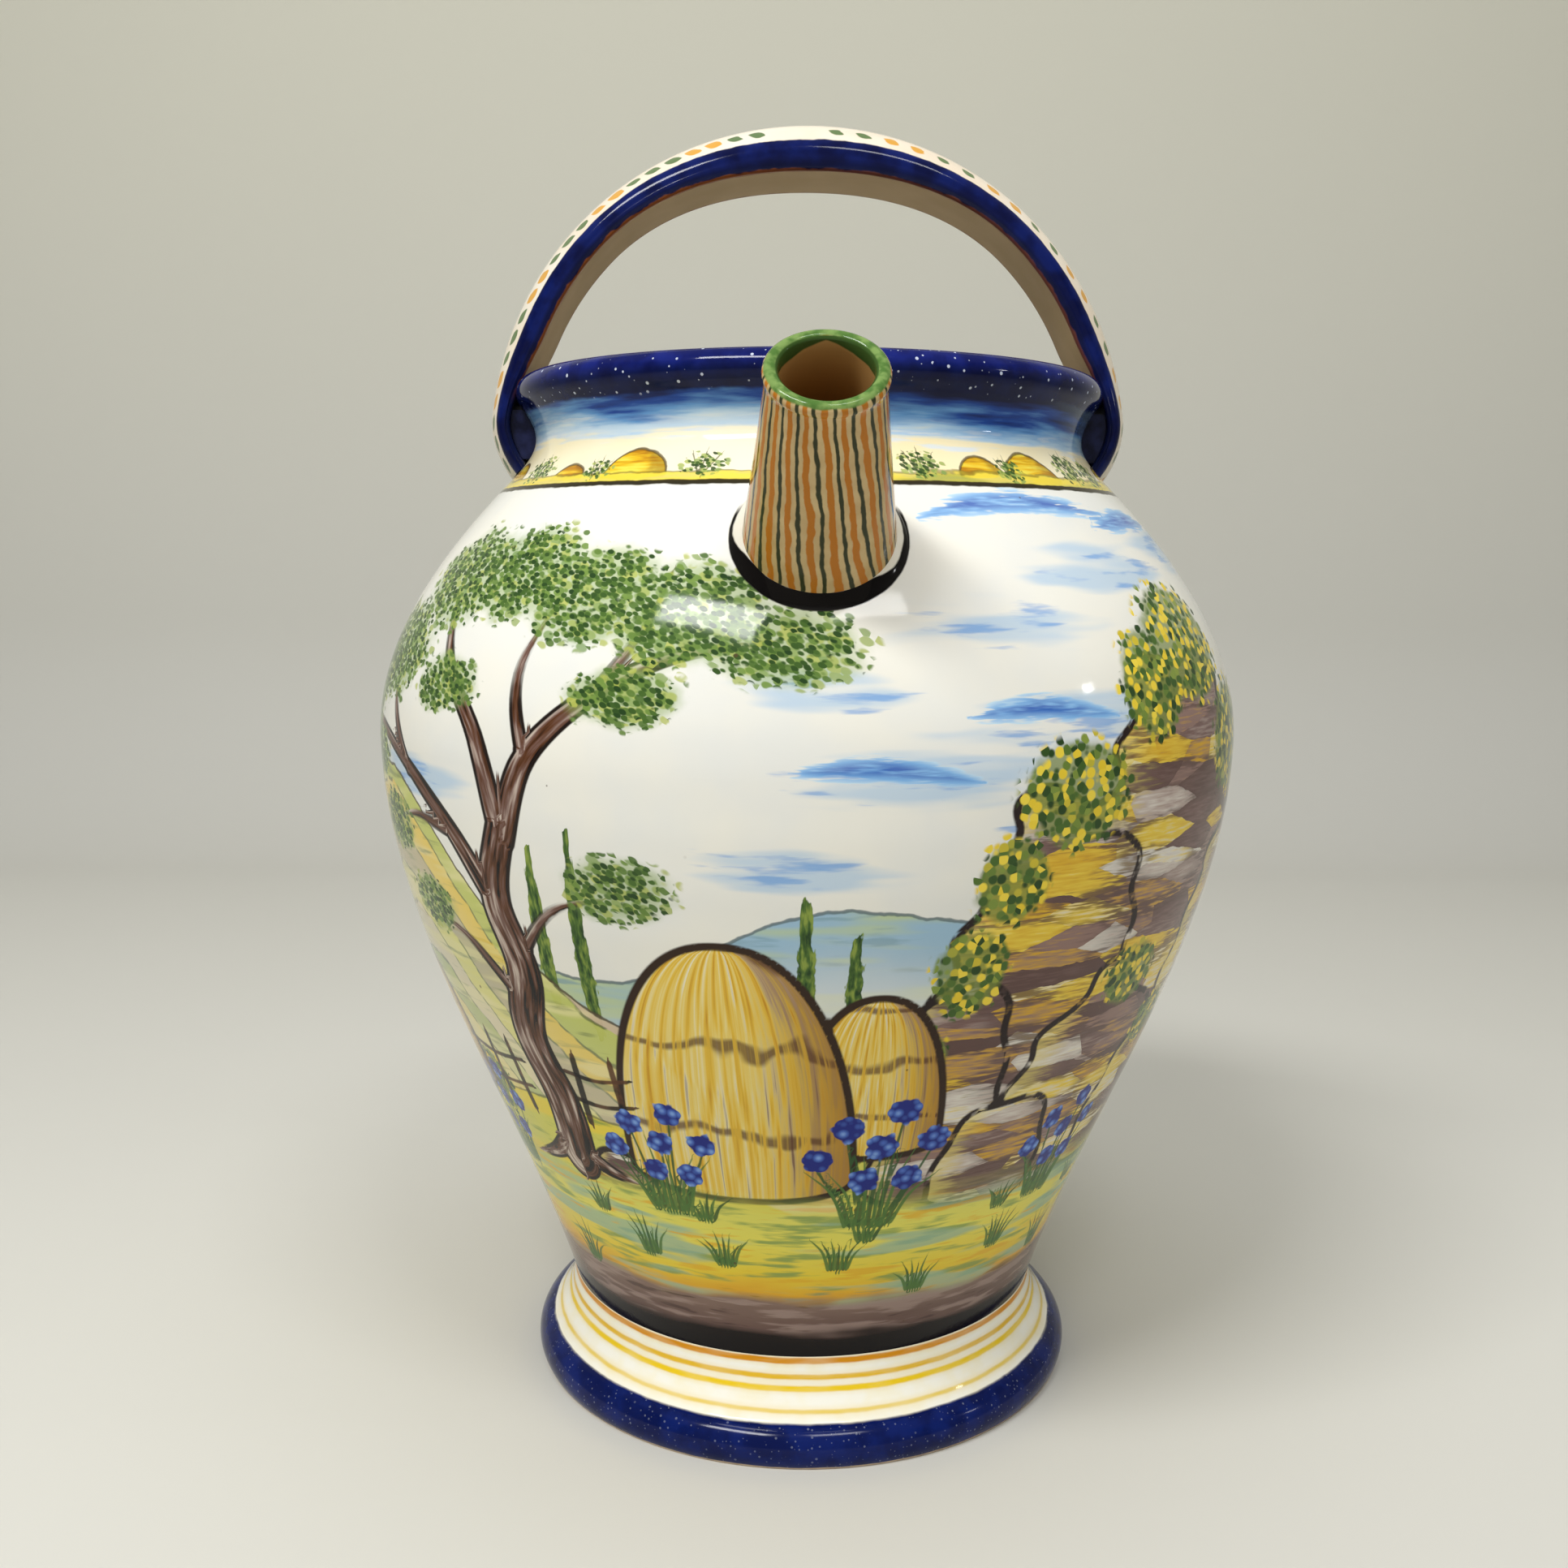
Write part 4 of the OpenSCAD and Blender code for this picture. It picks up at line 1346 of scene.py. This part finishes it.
    # Trees
    side = pen.field("wood_side")
    width = pen.field("wood_width")
    cover = ink_share(pen, "wood", uneven * 1.6, 0.35)
    bark = pen.noise(pen.vector(side * 0.55, z * 0.05 + uneven * 0.25, width), 1.0, 2.5)
    bark_colour = pen.tints(
        bark + side / (width + 0.4) * 0.10,
        (0.34, BLACK), (0.45, BROWN), (0.54, MAUVE), (0.64, (0.46, 0.36, 0.30)), (0.74, (0.66, 0.58, 0.48)),
    )
    pen.lay(cover, bark_colour)
    line = abs(abs(side) - width).step(0.8, 0.3) * pen.field("wood_room").step(1.7, 0.9)
    pen.lay(line * width.step(0.8, 1.6), (0.016, 0.010, 0.008))
    haze = pen.cloud(9.0, 3.0)
    leaf = pen.field("leaf")
    leaf = leaf + haze * leaf.step(0.0, 0.25) * 0.9
    pen.lay(leaf.step(0.15, 0.75) * 0.65, (0.30, 0.42, 0.14))
    leaf_paint(pen, leaf, 1.0, (
        (4.0, 0.80, (0.18, 0.30, 0.08), (0.46, 0.50, 0.09), 0.8),
        (3.0, 0.82, GREEN, (0.18, 0.29, 0.06), 0.95),
        (2.3, 0.96, GREEN_DARK, GREEN, 1.0),
    ))

    # Grass, sword leaves and blossoms
    for name, green in (("blade", (0.035, 0.10, 0.03)), ("blade_two", (0.09, 0.19, 0.045))):
        pen.lay(ink_share(pen, name, uneven * 0.6, 0.22) * 0.92, green)
    bloom = pen.field("bloom")
    far = pen.cells(pen.spot, 3.2)[0]
    cover = (bloom + (0.5 - far) * 0.6).step(0.40, 0.54)
    petal = pen.tints(
        far, (0.10, (0.22, 0.38, 0.74)), (0.35, (0.07, 0.15, 0.52)), (0.60, (0.015, 0.025, 0.22)),
    )
    pen.lay(cover, petal)

    # Line under the collar, and the ring round the root of the spout
    pen.lay((z + uneven * 0.9).step(COLLAR_Z - 1.1, COLLAR_Z - 0.6), (0.03, 0.025, 0.012))
    pen.lay(spout_ring(pen, uneven), BLACK)
    specks(pen)
    plain = pen.mix(wide.step(-0.2, 0.2), IVORY, (0.66, 0.60, 0.48))
    pen.lay(pen.field("inside").step(0.4, 0.6), plain)
    return pen.glaze()


def spout_places(pen):
    """Places in the spout's own directions: to the side, down, along its axis, and out from the axis."""
    offset = pen.node("ShaderNodeVectorMath", operation="SUBTRACT")
    pen.plug(offset.inputs[0], pen.spot)
    offset.inputs[1].default_value = tuple(SPOUT_START)
    places = []
    for direction in (SPOUT_SIDE, SPOUT_DOWN, SPOUT_AXIS):
        dot = pen.node("ShaderNodeVectorMath", operation="DOT_PRODUCT")
        pen.plug(dot.inputs[0], offset.outputs["Vector"])
        dot.inputs[1].default_value = tuple(direction)
        places.append(Num(pen, dot.outputs["Value"]))
    side, down, along = places
    return side, down, along, pen.math("SQRT", side * side + down * down)


def spout_ring(pen, uneven):
    """Cover of the black ring round the root of the spout: thick below, thin at the sides, open above."""
    side, down, _, out = spout_places(pen)
    rim = SPOUT_ROOT_R + COIL_W + 0.7
    thick = 0.9 + side.step(6.0, 20.0) * 0.8 + (down - side * 0.25).step(4.0, 17.0) * 2.6
    reach = (out + uneven * 0.8 + thick).step(rim - 0.5, rim)
    reach = reach * (out + uneven * 0.5).step(rim + 0.2, rim - 0.3)
    return reach * down.step(-13.0, -8.0) * pen.y.step(0.0, -20.0)


def specks(pen):
    """Small iron specks that fired through the glaze."""
    far, own, tint = pen.cells(pen.spot, 11.0)
    cover = (far - own * 0.035).step(0.030, 0.010) * tint.step(0.55, 0.6)
    pen.lay(cover * 0.7, (0.10, 0.06, 0.03))


def ring_share(pen, height, half, uneven, edge=0.25):
    """Cover of a ring painted round the jug at a height."""
    return (abs(pen.z + uneven - height) - half).step(edge, -edge)


def pinholes(pen, colour, size, swell, bright):
    """White pinholes in thick cobalt."""
    far, own, tint = pen.cells(pen.spot, size)
    cover = (far - own * own * swell).step(0.085, 0.035) * tint.step(0.10, 0.15)
    return pen.mix(cover * (own * 0.7 + 0.3) * bright, colour, (0.66, 0.72, 0.86))


def cobalt(pen, dark, light):
    """Thick cobalt with soft clouds."""
    cloud = pen.noise(pen.spot, 9.0, 3.0)
    return pen.mix(cloud.step(0.36, 0.66), dark, light)


def radius_from_axis(pen):
    """Distance from the middle of the jug."""
    return pen.math("SQRT", pen.x * pen.x + pen.y * pen.y)


def foot_glaze():
    pen = Pen("painted_foot")
    uneven = pen.cloud(8.0)
    sway = pen.cloud(60.0, 1.0) * 1.6
    press = pen.noise(pen.level(0.16), 2.4, 2.0)
    pen.colour = pen.mix(uneven.step(-0.2, 0.3), (0.99, 0.965, 0.85), (0.98, 0.92, 0.70))
    rings = (
        (29.6, 0.95, (0.72, 0.29, 0.006), 1.0), (24.6, 0.75, (0.82, 0.50, 0.03), 1.0),
        (21.2, 0.80, (0.90, 0.62, 0.02), 1.0), (15.4, 0.50, (0.86, 0.64, 0.14), 0.95),
    )
    for height, half, paint, strength in rings:
        cover = ring_share(pen, height, half, uneven * 0.6 + sway * 0.5, 0.35)
        wash = ring_share(pen, height, half + 0.7, uneven * 0.6 + sway * 0.5, 0.9)
        pen.lay(wash * 0.4, (0.90, 0.74, 0.36))
        pen.lay(cover * (strength - 0.45 + press * 0.8), paint)
    blue = pinholes(pen, cobalt(pen, (0.002, 0.007, 0.070), (0.004, 0.014, 0.125)), 1.25, 0.26, 0.17)
    bead = (pen.z + uneven * 0.6).step(13.0, 12.4)
    pen.lay(bead, blue)
    under = (pen.z + uneven * 0.7).step(1.0, 0.6)
    throat = (pen.z * 0.42 + radius_from_axis(pen)).step(80.5, 80.0)
    bare = pen.math("MAXIMUM", under, throat)
    clay = pen.mix(pen.noise(pen.spot, 2.4, 4.0), (0.74, 0.60, 0.45), (0.52, 0.36, 0.23))
    pen.lay(bare, clay)
    specks(pen)
    return pen.glaze(bead * 0.04 + GLOSS)


def collar_glaze():
    pen = Pen("painted_collar")
    z = pen.z
    uneven = pen.cloud(5.0)
    wide = pen.cloud(46.0)
    level = pen.level(0.09)
    streak = pen.noise(level, 1.7, 3.0)
    broad = pen.noise(level, 4.2, 2.0)
    pen.colour = pen.mix(wide.step(-0.2, 0.25), (0.92, 0.86, 0.65), (0.92, 0.80, 0.48))

    # Blue washes in level strokes that darken up to the rim, and a painted reflection at both far sides
    height = z - 2.6 + pen.x * 0.036 + wide * 7.0 + (broad - 0.5) * 15.0 + (streak - 0.5) * 9.0
    wash = pen.tints(
        (height - 309.0) / 16.0,
        (0.0, (0.68, 0.79, 0.85)), (0.30, (0.42, 0.62, 0.80)), (0.54, (0.13, 0.33, 0.66)),
        (0.72, (0.020, 0.075, 0.36)), (0.88, (0.010, 0.022, 0.12)), (1.0, (0.006, 0.009, 0.045)),
    )
    pen.lay(height.step(309.5, 313.5), wash)
    gap = streak.step(0.52, 0.64) * height.step(320.0, 313.0) * height.step(309.0, 311.5)
    pen.lay(gap * 0.8, (0.74, 0.79, 0.80))
    pale = abs(z - 317.4 + wide * 5.0 + (broad - 0.5) * 8.0) + uneven * 1.4
    pen.lay(pale.step(2.2, 0.5) * pen.x.step(40.0, -40.0) * 0.75, (0.60, 0.74, 0.84))
    # Painted reflection: grey-teal where the far sides of the collar would mirror the floor and the backdrop
    painted_side_reflection = abs(pen.x).step(66.0, 92.0) * height.step(310.0, 314.0)
    pen.lay(painted_side_reflection * 0.45, (0.13, 0.20, 0.30))

    # Low ground with knolls and shrubs
    edge = pen.field("knoll_edge") + uneven * 0.9
    wash = pen.tints(
        streak, (0.36, (0.50, 0.22, 0.01)), (0.48, (0.80, 0.50, 0.02)), (0.60, (0.86, 0.70, 0.08)),
    )
    shade = (pen.field("knoll_across") + uneven).step(0.1, 0.8)
    wash = pen.mix(shade * 0.6, wash, (0.24, 0.10, 0.012))
    pen.lay(edge.step(0.35, -0.35), wash)
    pen.lay(abs(edge).step(0.55, 0.2) * 0.8, (0.06, 0.04, 0.008))
    ground = z - 303.0 + uneven * 1.8 + (broad - 0.5) * 3.0
    wash = pen.mix(streak.step(0.44, 0.60), (0.84, 0.66, 0.06), (0.72, 0.60, 0.12))
    wash = pen.mix(broad.step(0.52, 0.62) * 0.7, wash, (0.28, 0.32, 0.05))
    pen.lay(ground.step(0.5, -0.5) * 0.95, wash)
    pen.lay(abs(ground).step(0.55, 0.15) * 0.55, (0.10, 0.08, 0.012))
    pen.lay(ink_share(pen, "wood", uneven * 0.4, 0.2) * 0.8, (0.05, 0.06, 0.015))
    leaf_paint(pen, pen.field("leaf"), 0.56, (
        (4.0, 0.92, (0.20, 0.32, 0.08), (0.42, 0.48, 0.10), 0.85),
        (3.0, 1.00, GREEN_DARK, GREEN, 0.95),
    ))

    pen.lay((z + uneven * 0.6).step(COLLAR_Z + 0.7, COLLAR_Z + 0.3), (0.04, 0.03, 0.012))
    blue = cobalt(pen, (0.002, 0.004, 0.038), (0.003, 0.008, 0.065))
    top = (z + uneven * 3.0).step(330.5, 334.5)
    blue = pen.mix(top, blue, cobalt(pen, (0.004, 0.008, 0.09), (0.008, 0.016, 0.16)))
    blue = pinholes(pen, blue, 2.3, 0.17, 0.85)
    pen.lay((z + uneven * 1.2 + wide * 3.0).step(325.0, 326.4), blue)
    inside = (radius_from_axis(pen) + uneven * 1.0 - (z - 330.0) * 0.12).step(88.6, 87.6)
    pen.lay(inside, IVORY)
    return pen.glaze()


def spout_glaze():
    pen = Pen("painted_spout")
    uneven = pen.cloud(5.0)
    side, down, along, radius = spout_places(pen)
    turn = pen.math("ARCTAN2", side, down) / (2 * math.pi)
    pen.colour = pen.mix(uneven.step(-0.25, 0.25), (0.67, 0.50, 0.25), (0.57, 0.40, 0.19))
    pen.lay((abs(side) + uneven * 3.0).step(9.0, 15.0) * 0.6, (0.50, 0.33, 0.10))

    # Twenty green and twenty orange lines by hand, drifting a little round the cone
    hand = pen.noise(pen.vector(side * 0.25, down * 0.25, along * 0.30), 3.0, 2.0) - 0.5
    sway = pen.noise(pen.vector(side * 0.4, down * 0.4, along * 0.06), 6.0, 1.0) - 0.5
    place = pen.math("FRACT", turn * 20.0 + along * 0.0142 + hand * 0.44 + sway * 0.8)
    press = pen.noise(pen.spot, 3.0, 2.0)
    lines = (
        (0.25, 0.042, 0.12, (0.014, 0.026, 0.008), 0.96),
        (0.75, 0.070, 0.17, (0.50, 0.16, 0.003), 0.94),
    )
    for middle, thin, swell, paint, strength in lines:
        width = thin + press * swell
        cover = (abs(place - middle) - width).step(0.035, -0.035)
        pen.lay(cover * strength, paint)
    lip = (along + uneven * 0.8).step(ROLL_AT + 1.0, ROLL_AT + 1.5)
    green = pen.mix(press.step(0.35, 0.65), (0.075, 0.165, 0.034), (0.19, 0.30, 0.085))
    pen.lay(lip, green)

    # Inside, the green runs down a little way at the back, to both sides of its middle, painted darker than
    # outside as painted shade
    bore = (radius + uneven * 0.3).step(12.7, 12.3)
    run = 1.5 + down.step(5.0, -4.0) * pen.math("MINIMUM", abs(side) * 0.36, 3.0)
    below = (SPOUT_LEN - along + uneven * 1.0 - run).step(-0.3, 0.3)
    # Painted shade: the bare clay of the bore darkens deeper into the spout
    bore_painted_shade = along.step(SPOUT_LEN - 2.0, SPOUT_LEN - 30.0)
    clay = pen.mix(bore_painted_shade, (0.50, 0.29, 0.10), (0.18, 0.078, 0.012))
    pen.lay(bore, pen.mix(below, (0.045, 0.095, 0.020), clay))
    specks(pen)
    return pen.glaze()


def coil_glaze():
    pen = Pen("painted_coil")
    uneven = pen.cloud(5.5)
    pen.colour = pen.mix(pen.noise(pen.spot, 3.0, 2.0), (0.82, 0.79, 0.69), (0.76, 0.70, 0.56))
    pen.lay(spout_ring(pen, uneven), BLACK)
    return pen.glaze()


def handle_glaze():
    pen = Pen("painted_handle")
    turn = pen.field("turn")
    length = pen.field("way") * HANDLE_HALF
    uneven = pen.cloud(5.0)
    wide = pen.cloud(22.0)
    crown = pen.mix(wide.step(-0.2, 0.2), (0.80, 0.74, 0.62), (0.78, 0.67, 0.52))

    # Two rows of slanted dashes, set closer on the left half, where three green and two orange take turns,
    # than on the right half, where two of each do
    left_pitch = 7.4
    right_pitch = 9.5
    left_shift = 2.3
    right_shift = 0.9
    row_y = 10.2
    right = pen.x.step(-1.0, 1.0)
    pitch = left_pitch + right * (right_pitch - left_pitch)
    shift = left_shift - right * (left_shift - right_shift)
    place = (length + abs(pen.y) * 0.5 + shift + uneven * 2.2 + wide * 2.0) / pitch
    dash = pen.math("FLOOR", place)
    along = (place - dash - 0.5) * pitch
    turn_of = pen.math("FRACT", dash * (0.2 + right * 0.05) + 0.65 + right * 0.25)
    across = abs(abs(pen.y) - row_y - along * 0.32)
    taper = 1.5 + turn_of * 0.5 - right * 0.3 - along * along * 0.14
    cover = (across + uneven * 1.1 - taper).step(0.3, -0.3)
    paint = pen.mix(turn_of.step(0.54, 0.56), (0.060, 0.14, 0.030), (0.66, 0.31, 0.008))
    shown = abs((dash + 0.5) * pitch - shift - 1.1).step(9.0, 10.5)
    crown = pen.mix(cover * shown * 0.92, crown, paint)

    blue = cobalt(pen, (0.002, 0.004, 0.040), (0.004, 0.011, 0.10))
    # Painted shade: the cobalt edge darkens towards the underside of the arch
    blue = pen.mix(turn.step(1.25, 1.9) * 0.65, blue, (0.006, 0.008, 0.035))
    under = pen.mix(wide.step(-0.2, 0.2), (0.60, 0.44, 0.24), (0.53, 0.38, 0.19))
    pen.colour = pen.mix((turn + uneven * 0.06).step(0.95, 0.99), crown, blue)
    # On the legs below the rim the underside turns near-black navy: navy glaze, deepened as painted shade in
    # the slit beside the collar
    under = pen.mix((pen.z + uneven * 8.0).step(340.0, 330.0), under, (0.008, 0.010, 0.035))
    pen.lay((turn + uneven * 0.06).step(1.97, 2.02), under)
    line = abs(turn + uneven * 0.16 - 1.98).step(0.11, 0.06) * pen.z.step(328.0, 345.0)
    pen.lay(line * (0.9 - pen.x.step(-30.0, 10.0) * 0.45), (0.30, 0.085, 0.018))
    return pen.glaze(turn.step(1.95, 2.10) * 0.41 + 0.08)


def wad_glaze():
    pen = Pen("painted_wad")
    uneven = pen.cloud(4.0)
    # Near-black navy: navy glaze, deepened as painted shade in the slit behind each leg
    pen.colour = pen.mix(uneven.step(-0.3, 0.3), (0.006, 0.007, 0.02), (0.02, 0.025, 0.08))
    return pen.glaze()


# Assembly


def place_piece(piece, glaze, node):
    """Gives a piece its glaze and puts it in the place of a CAD node."""
    piece.data.materials.clear()
    piece.data.materials.append(glaze)
    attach(piece, "root")
    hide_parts(node)


foot = make_foot()
turned_map(foot, lambda z: FOOT_KEY_R + 4 + 0 * z)
place_piece(foot, foot_glaze(), "foot")

body_paint = body_glaze()
for make_half, half_name in ((make_lower_body, "lower_body"), (make_upper_body, "upper_body")):
    body_half = make_half()
    draw_picture(body_half)
    turned_map(body_half, lambda z: body_r(z) - 1.0)
    place_piece(body_half, body_paint, half_name)

collar = make_collar()
draw_collar(collar)
turned_map(collar, lambda z: body_r(np.minimum(z, LIP_Z)) - 5.5)
place_piece(collar, collar_glaze(), "collar")

spout = make_spout()
spout_map(spout)
place_piece(spout, spout_glaze(), "spout")
coil = make_coil()
place_piece(coil, coil_glaze(), "spout_coil")

handle = make_handle()
handle_map(handle)
place_piece(handle, handle_glaze(), "handle")
wad_paint = wad_glaze()
for wad_name, wad_side in (("handle_wad_left", -1), ("handle_wad_right", 1)):
    wad = make_wad(wad_name + "_pressed", wad_side)
    place_piece(wad, wad_paint, wad_name)


# Studio


def make_stage():
    """A pale floor that curves up into walls behind the jug and far out at both sides."""
    bend = 0.22
    back = 0.84
    half = 2.4
    corner = 0.6
    front = -2.6
    height = 2.6
    plan = [(-half, front, -1.0, 0.0)]
    for middle, first in ((corner - half, math.pi), (half - corner, math.pi / 2)):
        for a in np.linspace(first, first - math.pi / 2, 9):
            out_x = math.cos(a)
            out_y = math.sin(a)
            plan.append((middle + corner * out_x, back - corner + corner * out_y, out_x, out_y))
    plan.append((half, front, 1.0, 0.0))
    rise = [(bend * math.sin(a), bend - bend * math.cos(a)) for a in np.linspace(0, math.pi / 2, 17)]
    rise.append((bend, height))
    points = []
    for x, y, out_x, out_y in plan:
        points += [(x + out_x * far, y + out_y * far, z) for far, z in rise]
    many = len(rise)
    faces = []
    for i in range(len(plan) - 1):
        for j in range(i * many, i * many + many - 1):
            faces.append((j, j + many, j + many + 1, j + 1))
    faces.append([i * many for i in reversed(range(len(plan)))])
    mesh = bpy.data.meshes.new("stage")
    mesh.from_pydata(points, [], faces)
    mesh.polygons.foreach_set("use_smooth", [True] * len(faces))
    stage = bpy.data.objects.new("stage", mesh)
    bpy.context.scene.collection.objects.link(stage)
    pen = Pen("stage_paper")
    mottle = pen.noise(pen.spot, 240.0, 2.0)
    wall = pen.mix(pen.z.step(60.0, 900.0), (0.635, 0.627, 0.58), (0.655, 0.642, 0.54))
    pen.colour = pen.mix(pen.y.step(760.0, 960.0), (0.66, 0.65, 0.60), wall)
    pen.lay(mottle * 0.20, (0.60, 0.59, 0.51))
    pen.plug(pen.shader.inputs["Base Color"], pen.colour)
    pen.plug(pen.shader.inputs["Roughness"], 0.85)
    mesh.materials.append(pen.material)


# Lamps: name, place, width, height and power, and whether the glaze mirrors it
LAMPS = (
    ("key", (-0.54, -0.76, 1.40), 0.60, 0.22, 14.2, True),
    ("second", (0.31, -0.86, 1.59), 0.50, 0.20, 5.6, True),
    ("glint", (1.354, -0.383, 0.742), 0.08, 0.05, 0.5, True),
    ("top", (0.0, -0.1, 2.0), 1.6, 1.0, 9.2, False),
    ("bank", (-0.5, -1.4, 1.8), 2.4, 1.4, 9.0, False),
    ("fill", (1.5, -0.9, 1.0), 1.0, 1.0, 1.8, False),
)
LAMP_AIM = (0.0, 0.0, 0.2)


def make_lamp(name, place, width, height, power, mirrored):
    """A soft rectangular lamp that faces the jug."""
    light = bpy.data.lights.new(name, "AREA")
    light.shape = "RECTANGLE"
    light.size = width
    light.size_y = height
    light.energy = power
    lamp = bpy.data.objects.new(name, light)
    lamp.location = place
    lamp.rotation_euler = (Vector(LAMP_AIM) - Vector(place)).to_track_quat("-Z", "Y").to_euler()
    lamp.visible_glossy = mirrored
    bpy.context.scene.collection.objects.link(lamp)


# The photograph's view: close, a little above the belly, tipped down, with the frame turned slightly
CAMERA_PLACE = (-0.01534, -0.53483, 0.2775)
CAMERA_TURN = math.radians(-0.85)
CAMERA_TIP = math.radians(81.84)
CAMERA_ROLL = math.radians(0.36)
CAMERA_LENS = 35.404


def make_camera():
    data = bpy.data.cameras.new("camera")
    data.sensor_width = 36.0
    data.lens = CAMERA_LENS
    data.clip_start = 0.01
    camera = bpy.data.objects.new("camera", data)
    turn = Matrix.Rotation(CAMERA_TURN, 4, "Z")
    tip = Matrix.Rotation(CAMERA_TIP, 4, "X")
    roll = Matrix.Rotation(CAMERA_ROLL, 4, "Z")
    camera.matrix_world = Matrix.Translation(CAMERA_PLACE) @ turn @ tip @ roll
    bpy.context.scene.collection.objects.link(camera)
    bpy.context.scene.camera = camera


WORLD_COLOUR = (0.95, 0.97, 1.0, 1.0)
WORLD_STRENGTH = 0.13
PAPER_COLOUR = (0.30, 0.29, 0.245, 1.0)


def make_world():
    """A dim, even light all round, seen and mirrored as the pale paper of the backdrop."""
    world = bpy.data.worlds.new("studio")
    bpy.context.scene.world = world
    world.use_nodes = True
    tree = world.node_tree
    light = tree.nodes["Background"]
    light.inputs["Color"].default_value = WORLD_COLOUR
    light.inputs["Strength"].default_value = WORLD_STRENGTH
    paper = tree.nodes.new("ShaderNodeBackground")
    paper.inputs["Color"].default_value = PAPER_COLOUR
    path = tree.nodes.new("ShaderNodeLightPath")
    shown = path.outputs["Is Camera Ray"]
    for kind in ("Is Glossy Ray", "Is Transmission Ray"):
        either = tree.nodes.new("ShaderNodeMath")
        either.operation = "MAXIMUM"
        tree.links.new(shown, either.inputs[0])
        tree.links.new(path.outputs[kind], either.inputs[1])
        shown = either.outputs["Value"]
    choice = tree.nodes.new("ShaderNodeMixShader")
    tree.links.new(shown, choice.inputs["Fac"])
    tree.links.new(light.outputs["Background"], choice.inputs[1])
    tree.links.new(paper.outputs["Background"], choice.inputs[2])
    tree.links.new(choice.outputs["Shader"], tree.nodes["World Output"].inputs["Surface"])


make_stage()
make_camera()
for lamp_values in LAMPS:
    make_lamp(*lamp_values)
make_world()
bpy.context.scene.view_settings.view_transform = "Standard"
